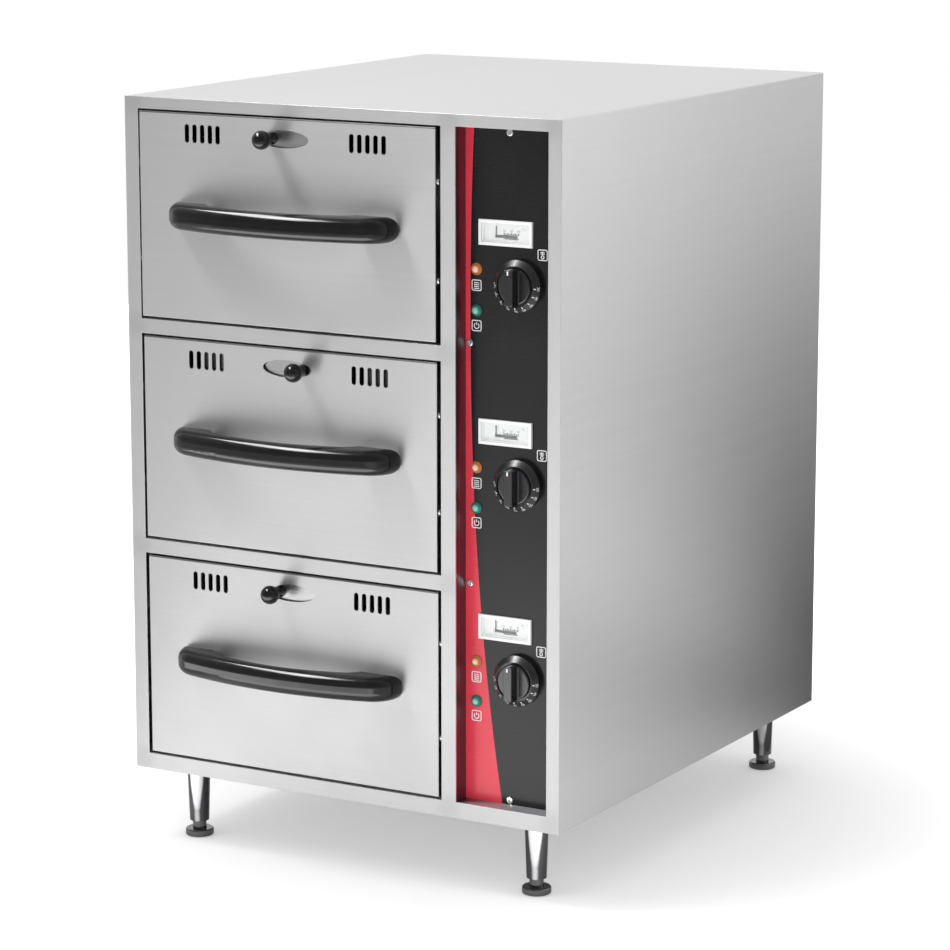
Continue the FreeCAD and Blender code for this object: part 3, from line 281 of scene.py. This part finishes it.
def upright_members(s):
    """1 on the stiles of the front frame, 0 on its rails."""
    x = s.axes()[0]
    past, inset = 0.01, 0.001
    stiles = ((box_frame[0].x - past, opening_x[0] - inset),
              (opening_x[1] + inset, box_film[0].x), (box_film[1].x, box_frame[1].x + past))
    return s.gather("ADD", [s.inside(x, left, right, 0.0008) for left, right in stiles], True)


def weld_patches(s):
    """1 where the frame's joints were ground flush."""
    y = box_frame[0].y
    columns = (box_frame[0].x + 0.010, (opening_x[1] + box_film[0].x) / 2,
               box_frame[1].x - 0.009)
    rows = [box_frame[1].z - 0.007, box_frame[0].z + 0.010]
    points = [(x, y, z) for x in columns for z in rows]
    for upper, lower in ((1, 2), (2, 3)):
        rail = (box_fronts[upper][0].z + box_fronts[lower][1].z) / 2
        points += [(x, y, rail) for x in columns[:2]]
    return s.nearest(points, 0.013, 0.008)


def recess_walls(s):
    """Painted part shade on the walls of the panel recess, most on the left one."""
    x, y, _ = s.axes()
    inner = s.remap(y, box_frame[0].y + 0.0012, box_frame[0].y + 0.0030, 0.0, 1.0, True)
    level = s.remap(x, box_film[0].x + 0.0015, box_film[0].x + 0.0040, 0.85, 0.40, True)
    within = s.inside(x, box_film[0].x - 0.0040, box_film[1].x + 0.0040, 0.0002)
    return s.gather("MULTIPLY", (inner, level, within))


def top_fold_shade(s):
    """1 on the folded top edges of the drawer fronts, where painted shade dims the lamp's
    highlight on the bend.
    """
    z = s.axes()[2]
    tops = [box_fronts[k][1].z for k in UNITS]
    return s.gather("ADD", [s.inside(z, top - 0.0016, top + 0.001, 0.0003) for top in tops], True)


def shutter_plate():
    """Shutter: bright behind the knob's window; behind the vent slots, where it lies in shadow,
    painted shade makes it dark, and it is rougher there.
    """
    s = Shader("shutter_steel")
    window_x = (opening_x[0] + opening_x[1]) / 2 - 0.016
    away = s.math("ABSOLUTE", s.math("SUBTRACT", s.axes()[0], window_x))
    shaded_part = s.remap(away, 0.055, 0.075, 0.0, 1.0, True)
    grain = s.noise(s.stretched(GRAIN_X), 1.0, 3.0, 0.6)
    blotches = s.noise(s.where(), 130.0, 3.0, 0.6)
    window_steel = s.mix(grain, (0.55, 0.55, 0.56), grey(0.64))
    # painted shade: the plate behind the vent slots, which lies in shadow, is made dark
    shaded_steel = s.mix(blotches, grey(0.07), (0.15, 0.15, 0.14))
    gloss = s.blend(shaded_part, s.remap(grain, 0.3, 0.7, 0.26, 0.34),
                    s.remap(blotches, 0.3, 0.7, 0.45, 0.6))
    return s.set(Base_Color=s.mix(shaded_part, window_steel, shaded_steel), Metallic=1.0, Roughness=gloss,
                 Normal=s.bump(grain, 0.1, 0.00012))


def make_metals():
    """Materials by slot name."""
    return {
        "case_steel": steel("case_steel", (0.74, 0.74, 0.743), 0.30, GRAIN_Y),
        # frame_steel carries painted shade: the recess walls turn dark bluish grey where they lie
        # in shade
        "frame_steel": steel("frame_steel", FRONT, 0.38, GRAIN_X, cross=GRAIN_Z,
                             mask=upright_members, patches=weld_patches, spread=0.88,
                             painted_shade=recess_walls, shade=(0.080, 0.078, 0.115)),
        # front_steel: painted shade darkens the top bends, dimming the lamp's highlight there
        "front_steel": steel("front_steel", FRONT, 0.38, GRAIN_X, spread=0.88, painted_shade=top_fold_shade),
        "panel_steel": steel("panel_steel", (0.66, 0.66, 0.67), 0.33, GRAIN_Z),
        "liner_steel": steel("liner_steel", (0.60, 0.59, 0.57), 0.36, GRAIN_Y),
        "inner_steel": steel("inner_steel", (0.66, 0.66, 0.67), 0.34, GRAIN_X),
        "rail_steel": steel("rail_steel", (0.56, 0.58, 0.62), 0.38, GRAIN_Y, tint=0.09),
        "pan_steel": steel("pan_steel", (0.74, 0.74, 0.75), 0.24, grey(300.0)),
        "shutter_steel": shutter_plate(),
        "element_sheath": steel("element_sheath", (0.20, 0.18, 0.17), 0.45, grey(90.0), 0.25),
    }


def plated(name):
    """A new shader for plated metal, with its faint hairlines and its broad cloud."""
    s = Shader(name)
    return s, s.noise(s.stretched(HAIRLINES), 1.0, 3.0, 0.65), s.noise(s.where(), 38.0, 3.0, 0.6)


def polished(name, colour, rough):
    """Plated and polished metal with faint hairlines."""
    s, lines, cloud = plated(name)
    base = s.mix(s.remap(cloud, 0.35, 0.7, 0.0, 1.0), colour, scaled(colour, 0.93))
    gloss = s.math("ADD", s.remap(lines, 0.4, 0.8, rough, rough + 0.05),
                   s.remap(cloud, 0.4, 0.75, 0.0, 0.04))
    return s.set(Base_Color=base, Metallic=1.0, Roughness=gloss,
                 Normal=s.bump(lines, 0.03, 0.00008))


def tube_chrome():
    """Chromed tube with a painted reflection: bright down the front, widening upwards, and dark
    round the sides, with a faint painted glint round the back.
    """
    s, lines, cloud = plated("leg_chrome")
    facing = s.add("VectorMath", {0: s.add("NewGeometry", out="Normal"), 1: (0.33, -0.944, 0.0)},
                   out="Value", operation="DOT_PRODUCT")
    # painted reflection: a bright band down the front of the tube and dark sides, set by which way
    # the surface faces
    edge = s.math("ADD", s.remap(s.axes()[2], 0.030, 0.082, 0.985, 0.74),
                  s.remap(cloud, 0.3, 0.7, -0.015, 0.015))
    front_highlight = s.remap(s.math("SUBTRACT", facing, edge), -0.05, 0.05, 0.0, 1.0, True)
    back_glint = s.remap(facing, -0.35, 0.25, 0.25, 0.0, True)
    base = s.mix(s.math("ADD", front_highlight, back_glint, True), (0.10, 0.10, 0.105), (0.86, 0.86, 0.865))
    return s.set(Base_Color=base, Metallic=1.0, Roughness=s.remap(lines, 0.4, 0.8, 0.08, 0.14),
                 Normal=s.bump(lines, 0.03, 0.00008))


# ---------------------------------------------------------------- plastics and the rest
def plastic(name, colour, rough, speck=0.25, grit=900.0, depth=0.05, shine=0.5):
    """Moulded plastic: fine surface grit, slight colour drift and wiped patches."""
    s = Shader(name)
    fine = s.noise(s.where(), grit, 2.0, 0.6)
    cloud = s.noise(s.where(), 60.0, 3.0, 0.55)
    worn = tuple(min(1.0, v * 1.35 + 0.004) for v in colour)
    gloss = s.math("ADD", s.remap(cloud, 0.35, 0.7, rough, rough + 0.07),
                   s.remap(fine, 0.4, 0.8, 0.0, 0.05))
    return s.set(Base_Color=s.mix(s.remap(cloud, 0.3, 0.7, 0.0, speck), colour, worn),
                 Roughness=gloss, Specular_IOR_Level=shine, Normal=s.bump(fine, depth, 0.00008))


def film_print():
    """Control panel film: black, with a red band whose edge is one long shallow curve."""
    s = Shader("panel_film")
    x, _, z = s.axes()
    lift = s.math("ABSOLUTE", s.math("SUBTRACT", z, box_frame[0].z + BAND_TURN))
    share = s.math("POWER", s.math("DIVIDE", lift, BAND_SPAN), BAND_POWER)
    edge = s.math("ADD", s.math("MULTIPLY", share, BAND_BOW), box_film[0].x + BAND_INSET)
    past_edge = s.remap(s.math("SUBTRACT", x, edge), -0.00015, 0.00015, 0.0, 1.0)
    cloud = s.noise(s.where(), 14.0, 4.0, 0.6)
    scuff = s.noise(s.stretched((60.0, 60.0, 900.0)), 1.0, 3.0, 0.7)
    fine = s.noise(s.where(), 1400.0, 2.0)
    # the red carries a painted reflection of white in its green and blue
    red = s.mottle(cloud, RED_WITH_REFLECTION, scaled(RED_WITH_REFLECTION, 0.86))
    black = s.mottle(cloud, BLACK, scaled(BLACK, 1.5))
    gloss = s.math("ADD", s.remap(cloud, 0.3, 0.7, 0.21, 0.25),
                   s.remap(scuff, 0.5, 0.85, 0.0, 0.10))
    return s.set(Base_Color=s.mix(past_edge, red, black), Roughness=gloss,
                 Normal=s.bump(fine, 0.06, 0.00006))


def lamp_lens(name, back_glint, heart, rows, painted_glow):
    """Translucent dome: paler in the middle and deep in colour at the rim, with a faint painted
    glow over it.
    """
    s = Shader(name)
    x, _, z = s.axes()
    low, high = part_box(name)
    radius = (high.x - low.x) / 2
    gap = s.gather("MINIMUM", [s.math("ABSOLUTE", s.math("SUBTRACT", z, row)) for row in rows])
    side = s.math("SUBTRACT", x, (low.x + high.x) / 2)
    reach = s.math("SQRT", s.math("ADD", s.math("MULTIPLY", side, side),
                                  s.math("MULTIPLY", gap, gap)))
    facets = s.noise(s.where(), 420.0, 2.0, 0.7)
    middle_tone = s.mix(s.remap(facets, 0.35, 0.65, 0.0, 1.0), heart, scaled(heart, 0.75))
    colour = s.mix(s.remap(reach, radius * 0.45, radius * 0.85, 0.0, 1.0, True), middle_tone, back_glint)
    # painted glow: the lens gives off a faint emission in its own colour
    return s.set(Base_Color=colour, Roughness=s.remap(facets, 0.3, 0.7, 0.12, 0.24),
                 Emission_Color=colour, Emission_Strength=painted_glow, Coat_Weight=0.6,
                 Coat_Roughness=0.05, Normal=s.bump(facets, 0.12, 0.0002))


def bezels(amber_rows):
    """Lamp rings, moulded in the colour of their lamp, in two cloudy tones."""
    s = Shader("bezel_black")
    z = s.axes()[2]
    warm = s.gather("ADD", [s.inside(z, row - BEZEL_REACH, row + BEZEL_REACH, 0.0005)
                            for row in amber_rows], True)
    cloud = s.noise(s.where(), 300.0, 2.0)
    amber = s.mix(cloud, (0.42, 0.15, 0.035), (0.30, 0.09, 0.02))
    green = s.mix(cloud, (0.010, 0.12, 0.09), (0.006, 0.07, 0.055))
    fine = s.noise(s.where(), 900.0, 2.0)
    return s.set(Base_Color=s.mix(warm, green, amber),
                 Roughness=s.remap(cloud, 0.3, 0.7, 0.2, 0.3), Normal=s.bump(fine, 0.05, 0.00008))


def clear_lens():
    s = Shader("gauge_clear")
    cloud = s.noise(s.where(), 160.0, 2.0)
    return s.set(Base_Color=(0.93, 0.95, 0.96), Roughness=s.remap(cloud, 0.3, 0.7, 0.05, 0.11),
                 Alpha=0.10, Specular_IOR_Level=0.5)


def wool():
    s = Shader("mineral_wool")
    fibres = s.noise(s.stretched((900.0, 140.0, 900.0)), 1.0, 5.0, 0.7)
    cloud = s.noise(s.where(), 30.0, 3.0)
    base = s.mottle(fibres, (0.55, 0.50, 0.34), (0.78, 0.74, 0.60))
    base = s.mix(s.remap(cloud, 0.4, 0.7, 0.0, 0.4), base, (0.60, 0.55, 0.40))
    return s.set(Base_Color=base, Roughness=0.95, Normal=s.bump(fibres, 0.8, 0.001))


def sleeve():
    s = Shader("wire_sleeve")
    braid = s.add("TexWave", {"Vector": s.where(), "Scale": 260.0, "Distortion": 1.5,
                              "Detail": 2.0}, out="Fac", wave_type="BANDS",
                  bands_direction="DIAGONAL")
    base = s.mix(braid, (0.02, 0.02, 0.022), (0.07, 0.07, 0.075))
    return s.set(Base_Color=base, Roughness=0.7, Normal=s.bump(braid, 0.4, 0.0004))


def ink(name, colour):
    """Printed marks: opaque paint with a slightly uneven edge tone."""
    s = Shader(name)
    cloud = s.noise(s.where(), 900.0, 3.0)
    return s.set(Base_Color=s.mottle(cloud, colour, scaled(colour, 0.85)),
                 Roughness=s.remap(cloud, 0.3, 0.7, 0.4, 0.5))


def lamp_rows(node):
    """Heights of a node's three lamps, which repeat with the dials."""
    top_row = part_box(node)[1].z - LENS_RADIUS - centre("dial_1").z
    return [centre("dial_%d" % k).z + top_row for k in UNITS]


def make_materials():
    """Materials by slot name."""
    made = make_metals()
    amber, green = lamp_rows("amber_lamps"), lamp_rows("green_lamps")
    made.update({
        "mineral_wool": wool(),
        "panel_film": film_print(),
        "screw_steel": polished("screw_steel", grey(0.92), 0.20),
        "gauge_white": plastic("gauge_white", grey(0.80), 0.40, 0.1, 700.0),
        "gauge_clear": clear_lens(),
        "pointer_black": plastic("pointer_black", grey(0.012), 0.4),
        "amber_lens": lamp_lens("amber_lamps", (0.50, 0.17, 0.05), (0.84, 0.56, 0.40),
                                amber, 0.10),
        "green_lens": lamp_lens("green_lamps", (0.02, 0.22, 0.17), (0.22, 0.56, 0.46),
                                green, 0.06),
        "bezel_black": bezels(amber),
        "thermostat_case": plastic("thermostat_case", (0.09, 0.09, 0.10), 0.5),
        "capillary_copper": polished("capillary_copper", (0.72, 0.38, 0.24), 0.28),
        "terminal_plastic": plastic("terminal_plastic", (0.72, 0.69, 0.60), 0.5),
        "gland_black": plastic("gland_black", (0.020, 0.020, 0.021), 0.48, 0.3, 500.0, 0.12),
        "wire_sleeve": sleeve(),
        "leg_chrome": tube_chrome(),
        "foot_chrome": polished("foot_chrome", (0.17, 0.17, 0.175), 0.12),
        "dial_black": plastic("dial_black", (0.008, 0.008, 0.009), 0.26, 0.3, 1100.0, 0.06),
    })
    for slot in ("handle_black", "knob_black"):
        made[slot] = plastic(slot, grey(0.004), 0.10, 0.2, 1500.0, 0.02, 0.32)
    return made


materials = make_materials()
white_ink = ink("white_ink", grey(0.78))
black_ink = ink("black_ink", grey(0.010))
grey_ink = ink("grey_ink", (0.25, 0.25, 0.26))

slot_of = {part["node"]: part["material_slot"] for part in frame["record"]["subparts"]}
for name, node in nodes.items():
    if not node.material_slots:
        node.data.materials.append(None)
    for holder in node.material_slots:
        holder.material = materials[slot_of[name]]


# ---------------------------------------------------------------- mesh helpers
def piece(name, bm, material, body):
    """Links a finished mesh as a piece that rides on a body."""
    mesh = finish_mesh(bm, name)
    obj = bpy.data.objects.new(name, mesh)
    bpy.context.scene.collection.objects.link(obj)
    mesh.materials.append(material)
    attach(obj, body)


def finish_mesh(bm, name):
    bmesh.ops.recalc_face_normals(bm, faces=bm.faces[:])
    mesh = bpy.data.meshes.new(name)
    bm.to_mesh(mesh)
    bm.free()
    for polygon in mesh.polygons:
        polygon.use_smooth = False
    return mesh


def stroke(bm, points, width, place, depth, closed=False):
    """A flat ribbon of constant width along 2-D points, given depth. place(point, lift) puts
    each of its corners in 3-D."""
    pts = [Vector(p) for p in points]
    last = len(pts) - 1
    rows = []
    for k, point in enumerate(pts):
        before = pts[k - 1] if (k or closed) else point
        after = pts[(k + 1) % len(pts)] if (k < last or closed) else point
        ways = [(b - a).normalized() for a, b in ((before, point), (point, after))
                if (b - a).length > 1e-9]
        way = (ways[0] + ways[-1]).normalized()
        side = Vector((-way.y, way.x))
        mitre = side.dot(Vector((-ways[0].y, ways[0].x)))
        side = side * (width / 2 / max(mitre, 0.35))
        rows.append([bm.verts.new(place(point + side * sign, lift))
                     for sign, lift in ((-1, 0.0), (1, 0.0), (1, depth), (-1, depth))])
    for a, b in zip(rows, rows[1:] + rows[:1] if closed else rows[1:]):
        for k in range(4):
            n = (k + 1) % 4
            bm.faces.new((a[k], a[n], b[n], b[k]))
    if not closed:
        bm.faces.new(rows[0][::-1])
        bm.faces.new(rows[-1])


def on_upright(y):
    """A place function for marks on an upright face at y, raised towards the front."""
    return lambda point, lift: Vector((point.x, y - INK_GAP - lift, point.y))


def arc(cx, cz, radius, start, end, steps):
    """Points of an arc; angles in degrees, clockwise from the top."""
    turns = [math.radians(start + (end - start) * k / steps) for k in range(steps + 1)]
    return [(cx + radius * math.sin(turn), cz + radius * math.cos(turn)) for turn in turns]


def rounded_square(cx, cz, half, radius):
    found = []
    inner = half - radius
    for sx, sz, start in ((1, 1, 0), (1, -1, 90), (-1, -1, 180), (-1, 1, 270)):
        found += arc(cx + sx * inner, cz + sz * inner, radius, start, start + 90, 5)
    return found


def add_word(bm, text, size, matrix):
    """Adds plain figures of height size, drawn about the origin and then moved by matrix."""
    curve = bpy.data.curves.new("figures", "FONT")
    curve.body = text
    curve.size = size * FIGURE_EM
    curve.align_x, curve.align_y = "CENTER", "CENTER"
    curve.extrude = INK_DEPTH
    obj = bpy.data.objects.new("figures", curve)
    bpy.context.scene.collection.objects.link(obj)
    bpy.context.view_layer.update()
    mesh = bpy.data.meshes.new_from_object(obj)
    bpy.data.objects.remove(obj)
    mesh.transform(matrix)
    bm.from_mesh(mesh)
    bpy.data.meshes.remove(mesh)


# ---------------------------------------------------------------- printed signs on the film
def panel_signs(k):
    """Framed signs beside the lamps and the dial: heat, power and core temperature."""
    on_film = on_upright(box_film[0].y)
    middle = centre("dial_%d" % k)
    left = box_frame[0].x
    heat = (left + LAMP_COLUMN, middle.z - HEAT_DROP)
    power = (left + LAMP_COLUMN, middle.z - POWER_DROP)
    probe = (left + PROBE_COLUMN, middle.z + PROBE_RISE)
    bm = bmesh.new()
    for cx, cz in (heat, power, probe):
        stroke(bm, rounded_square(cx, cz, SIGN_HALF, SIGN_CORNER), SIGN_LINE, on_film,
               INK_DEPTH, True)

    def sign(middle_point, points, width):
        cx, cz = middle_point
        stroke(bm, [(cx + px * SIGN_SCALE, cz + pz * SIGN_SCALE) for px, pz in points], width,
               on_film, INK_DEPTH)

    for row in range(3):
        rise = 3.2 - row * 2.4
        sign(heat, [(-3.6 + t * 0.6, rise + 0.5 * math.sin(t * 1.05)) for t in range(13)], 0.0008)
    sign(heat, [(-3.8, -4.0), (3.8, -4.0)], 0.0009)
    sign(power, arc(0.0, -0.2, 3.4, 35, 325, 26), 0.0010)
    sign(power, [(0.0, 4.2), (0.0, 0.6)], 0.0010)
    sign(probe, arc(0.0, -2.6, 1.9, 0, 345, 18), 0.0010)
    sign(probe, [(0.0, -0.6), (0.0, 4.6)], 0.0012)
    for side in (-1, 1):
        for rise in (1.2, 3.2):
            sign(probe, [(side * 1.0, rise), (side * 2.9, rise)], 0.0009)
    piece("panel_signs_%d" % k, bm, white_ink, "cabinet")


# ---------------------------------------------------------------- gauge scales
def gauge_scale(k):
    """Figures and graduations on a gauge's card, clear of the slot its pointer comes through."""
    card_y = box_film[0].y - GAUGE_PROUD + CARD_DROP
    on_card = on_upright(card_y)
    gx, gz = centre("gauge_cases").x, centre("dial_%d" % k).z + GAUGE_RISE
    left, right = gx - SCALE_LEFT, gx + SCALE_RIGHT
    below, above = gz - SLOT_BELOW, gz - SLOT_ABOVE
    ticks = [left + (right - left) * n / SCALE_STEPS for n in range(SCALE_STEPS + 1)]
    bm = bmesh.new()
    stroke(bm, [(left, below), (right, below)], 0.0010, on_card, INK_DEPTH)
    for n, x in enumerate(ticks):
        tall = SHORT_TICK if n % 2 else LONG_TICK
        stroke(bm, [(x, above), (x, above + tall)], TICK_WIDTH, on_card, INK_DEPTH)
    piece("gauge_scale_%d" % k, bm, black_ink, "cabinet")

    bm = bmesh.new()

    def figure(text, size, x, z):
        place = Matrix.Translation((x, card_y - 0.00006, z)) @ Matrix.Rotation(math.pi / 2, 4, "X")
        add_word(bm, text, size, place)

    for n, text in ((0, "30"), (4, "60"), (8, "90")):
        figure(text, 0.0026, ticks[n], above + 0.0042)
    unit_x, unit_z = right + 0.0062, gz + 0.0046
    stroke(bm, arc(unit_x - 0.0014, unit_z + 0.0010, 0.0006, 0, 340, 12), 0.0003, on_card,
           INK_DEPTH)
    figure("C", 0.0024, unit_x + 0.0006, unit_z)
    piece("gauge_figures_%d" % k, bm, grey_ink, "cabinet")


# ---------------------------------------------------------------- dial marks
def dial_marks(k):
    """Index line, ticks and figures on the sloping skirt of a dial, and the line on its bar."""
    dial = "dial_%d" % k
    middle = centre(dial)
    base_y = box_film[0].y - DIAL_GAP
    rim_y = base_y - DIAL_RIM
    slope = Vector((DIAL_TOP_RADIUS - DIAL_RIM_RADIUS, DIAL_RIM - DIAL_SKIRT))
    slant = slope.length
    inward = slope.normalized()
    outward = Vector((-inward.y, inward.x))

    def on_skirt(turn):
        """Places on the skirt at a turn: along it from the rim, aside, and lifted off it."""
        radial = Vector((math.sin(turn), 0.0, math.cos(turn)))
        across = Vector((math.cos(turn), 0.0, -math.sin(turn)))

        def at(along, aside, lift):
            r = DIAL_RIM_RADIUS + inward.x * along + outward.x * lift
            y = rim_y + inward.y * along + outward.y * lift
            return Vector((middle.x, y, middle.z)) + radial * r + across * aside
        return at

    bm = bmesh.new()
    depth = 0.00005

    def tick(turn, start, end, width):
        at = on_skirt(turn)
        stroke(bm, [(start, 0.0), (end, 0.0)], width,
               lambda point, lift: at(point.x, point.y, 0.00003 + lift), depth)

    tick(math.radians(-2.0), 0.0006, slant - 0.0004, 0.0012)
    for n in range(MARKS):
        turn = math.radians(FIRST_MARK + MARK_STEP * n)
        tick(turn, slant - 0.0034, slant - 0.0010, 0.0011)
        at = on_skirt(turn)
        foot = at(0.0, 0.0, 0.0)
        up = (foot - at(0.001, 0.0, 0.0)).normalized()
        side = (at(0.0, 0.001, 0.0) - foot).normalized()
        facing = Matrix((side, up, side.cross(up))).transposed().to_4x4()
        place = Matrix.Translation(at(0.0023, 0.0, 0.00008)) @ facing
        add_word(bm, str(30 + 10 * n), 0.0030, place)
    piece("dial_marks_%d" % k, bm, white_ink, dial)

    bm = bmesh.new()
    line_x, bar_y = middle.x - 0.0006, base_y - BAR_FACE
    stroke(bm, [(BAR_END - 0.0055, 0.0), (BAR_END - 0.0014, 0.0)], 0.0018, lambda point, lift:
           Vector((line_x + point.y, bar_y - 0.00003 - lift, middle.z + point.x)), depth)
    stroke(bm, [(bar_y + 0.0014, 0.0), (bar_y + 0.0095, 0.0)], 0.0018, lambda point, lift:
           Vector((line_x + point.y, point.x, middle.z + BAR_END + 0.00001 + lift)), depth)
    piece("dial_pointer_%d" % k, bm, white_ink, dial)


for unit in UNITS:
    panel_signs(unit)
    gauge_scale(unit)
    dial_marks(unit)


# ---------------------------------------------------------------- stage and light
FLOOR_RADIUS, FLOOR_DROP = 4.0, 0.0004
FLAG_X, FLAG_Y, FLAG_Z = (0.28, 1.0), (0.0, 0.75), (0.003, 1.0)
SOFT_LIGHT = 0.55                   # strength of the world for rays that aren't mirrored


def stage_object(name, mesh, material, place=(0.0, 0.0, 0.0)):
    obj = bpy.data.objects.new(name, mesh)
    bpy.context.scene.collection.objects.link(obj)
    obj.location = place
    mesh.materials.append(material)
    return obj


def floor_paper():
    """Pale paper: white away from the cabinet, and shaded by it close by. What metal mirrors
    of it is brightest near the cabinet, less beside it on the left and on the right."""
    s = Shader("floor_paper")
    x, y, _ = s.axes()
    reach = s.math("SQRT", s.math("ADD", s.math("MULTIPLY", x, x), s.math("MULTIPLY", y, y)))
    shown = s.remap(reach, 0.30, 1.05, 0.32, 1.0, True)
    near = s.remap(reach, 0.30, 0.62, 0.0, 1.05, True)
    far = s.remap(reach, 0.9, 2.3, 1.0, 0.05, True)
    leftward = s.math("SUBTRACT", s.math("MULTIPLY", s.math("ADD", y, 0.35), 0.57), x)
    kept = s.math("MAXIMUM", s.remap(leftward, 0.26, 0.46, 1.0, 0.0, True),
                  s.remap(reach, 1.15, 1.55, 0.0, 1.0, True))
    beside = s.math("MULTIPLY", s.remap(x, 0.28, 0.52, 0.0, 1.0, True),
                    s.remap(y, 0.0, 0.55, 0.5, 0.0, True))
    kept = s.math("SUBTRACT", kept, beside, True)
    mirrored = s.gather("MULTIPLY", (near, far, kept))
    return s.set(Base_Color=s.mottle(s.noise(s.where(), 5.0, 2.0), grey(0.86), grey(0.855)),
                 Roughness=0.9, Specular_IOR_Level=0.0, Emission_Color=WHITE,
                 Emission_Strength=s.blend(s.seen_by("Is Camera Ray"), mirrored, shown))


def make_floor():
    bm = bmesh.new()
    bmesh.ops.create_circle(bm, cap_ends=True, segments=96, radius=FLOOR_RADIUS)
    stage_object("floor", finish_mesh(bm, "floor"), floor_paper(), (0.0, 0.0, -FLOOR_DROP))


def make_flag():
    """A soft-edged dark flag behind the cabinet's right side, which only mirrors show."""
    s = Shader("side_flag")
    x, y, z = s.axes()
    upright = s.math("MULTIPLY", s.remap(x, 0.48, 0.86, 0.96, 0.0),
                     s.remap(z, 0.08, 0.75, 1.0, 0.36))
    lying = s.remap(y, 0.0, 0.55, 0.0, 0.94)
    dense = s.blend(s.math("GREATER_THAN", z, FLAG_Z[0] + 0.001), lying, upright)
    s.set(Base_Color=s.mix(s.noise(s.where(), 3.0, 2.0), grey(0.03), grey(0.02)), Roughness=1.0,
          Specular_IOR_Level=0.0, Alpha=dense)
    bm = bmesh.new()
    rows = [[bm.verts.new((across, deep, high)) for across in FLAG_X]
            for deep, high in ((FLAG_Y[0], FLAG_Z[0]), (FLAG_Y[1], FLAG_Z[0]),
                               (FLAG_Y[1], FLAG_Z[1]))]
    for a, b in zip(rows, rows[1:]):
        bm.faces.new((a[0], a[1], b[1], b[0]))
    flag = stage_object("side_flag", finish_mesh(bm, "side_flag"), s.mat)
    flag.visible_camera = False
    flag.visible_diffuse = False
    flag.visible_shadow = False


def make_world():
    """White to the camera; in reflections white behind the cabinet and dimmer in front of it."""
    world = bpy.data.worlds.new("studio")
    bpy.context.scene.world = world
    world.use_nodes = True
    t = Tree(world.node_tree)
    _, y, z = t.split(t.add("TexCoord", out="Generated"))
    mirrored = t.math("MULTIPLY", t.remap(y, -0.75, 0.35, 0.29, 1.0, True),
                      t.remap(z, -0.06, 0.14, 1.08, 0.91, True))
    others = t.blend(t.seen_by("Is Glossy Ray"), SOFT_LIGHT, mirrored)
    level = t.blend(t.seen_by("Is Camera Ray", "Is Transmission Ray"), others, 1.0)
    end = t.tree.nodes.new("ShaderNodeOutputWorld")
    t.plug(end.inputs["Surface"], t.add("Background", {"Color": WHITE, "Strength": level}))


def area(name, place, target, size, power, mirrored=True, only=None):
    """A rectangular lamp that the camera doesn't see; only is the collection that it lights."""
    data = bpy.data.lights.new(name, "AREA")
    data.shape = "RECTANGLE"
    data.size, data.size_y = size
    data.energy = power
    lamp = bpy.data.objects.new(name, data)
    bpy.context.scene.collection.objects.link(lamp)
    lamp.visible_camera = False
    lamp.visible_glossy = mirrored
    if only is not None:
        lamp.light_linking.receiver_collection = only
    aim(lamp, Vector(place), Vector(target) - Vector(place))


make_floor()
make_world()
make_flag()
area("key", (-1.25, -1.12, 2.93), (0.0, -0.2, 0.45), (0.62, 0.62), 17.0)
area("spread", (-1.6, -1.8, 2.6), (0.0, -0.2, 0.45), (1.6, 1.6), 22.0, mirrored=False)
area("fill", (1.6, -2.8, 0.55), (0.0, 0.0, 0.30), (1.6, 0.9), 30.0, mirrored=False)
area("top", (0.2, 0.5, 3.0), (0.0, 0.0, 0.4), (1.6, 1.6), 6.0, mirrored=False)
glossy = bpy.data.collections.new("glossy_parts")
for name, node in nodes.items():
    if slot_of[name] in ("handle_black", "knob_black", "dial_black", "screw_steel"):
        glossy.objects.link(node)
area("gloss_high", (-1.45, -0.95, 2.95), (0.0, -0.3, 0.45), (2.4, 0.7), 105.0, only=glossy)
area("gloss_low", (-0.30, -0.80, 0.03), (-0.30, -0.80, 1.0), (1.4, 0.5), 10.0, only=glossy)
bpy.context.scene.view_settings.view_transform = "Standard"
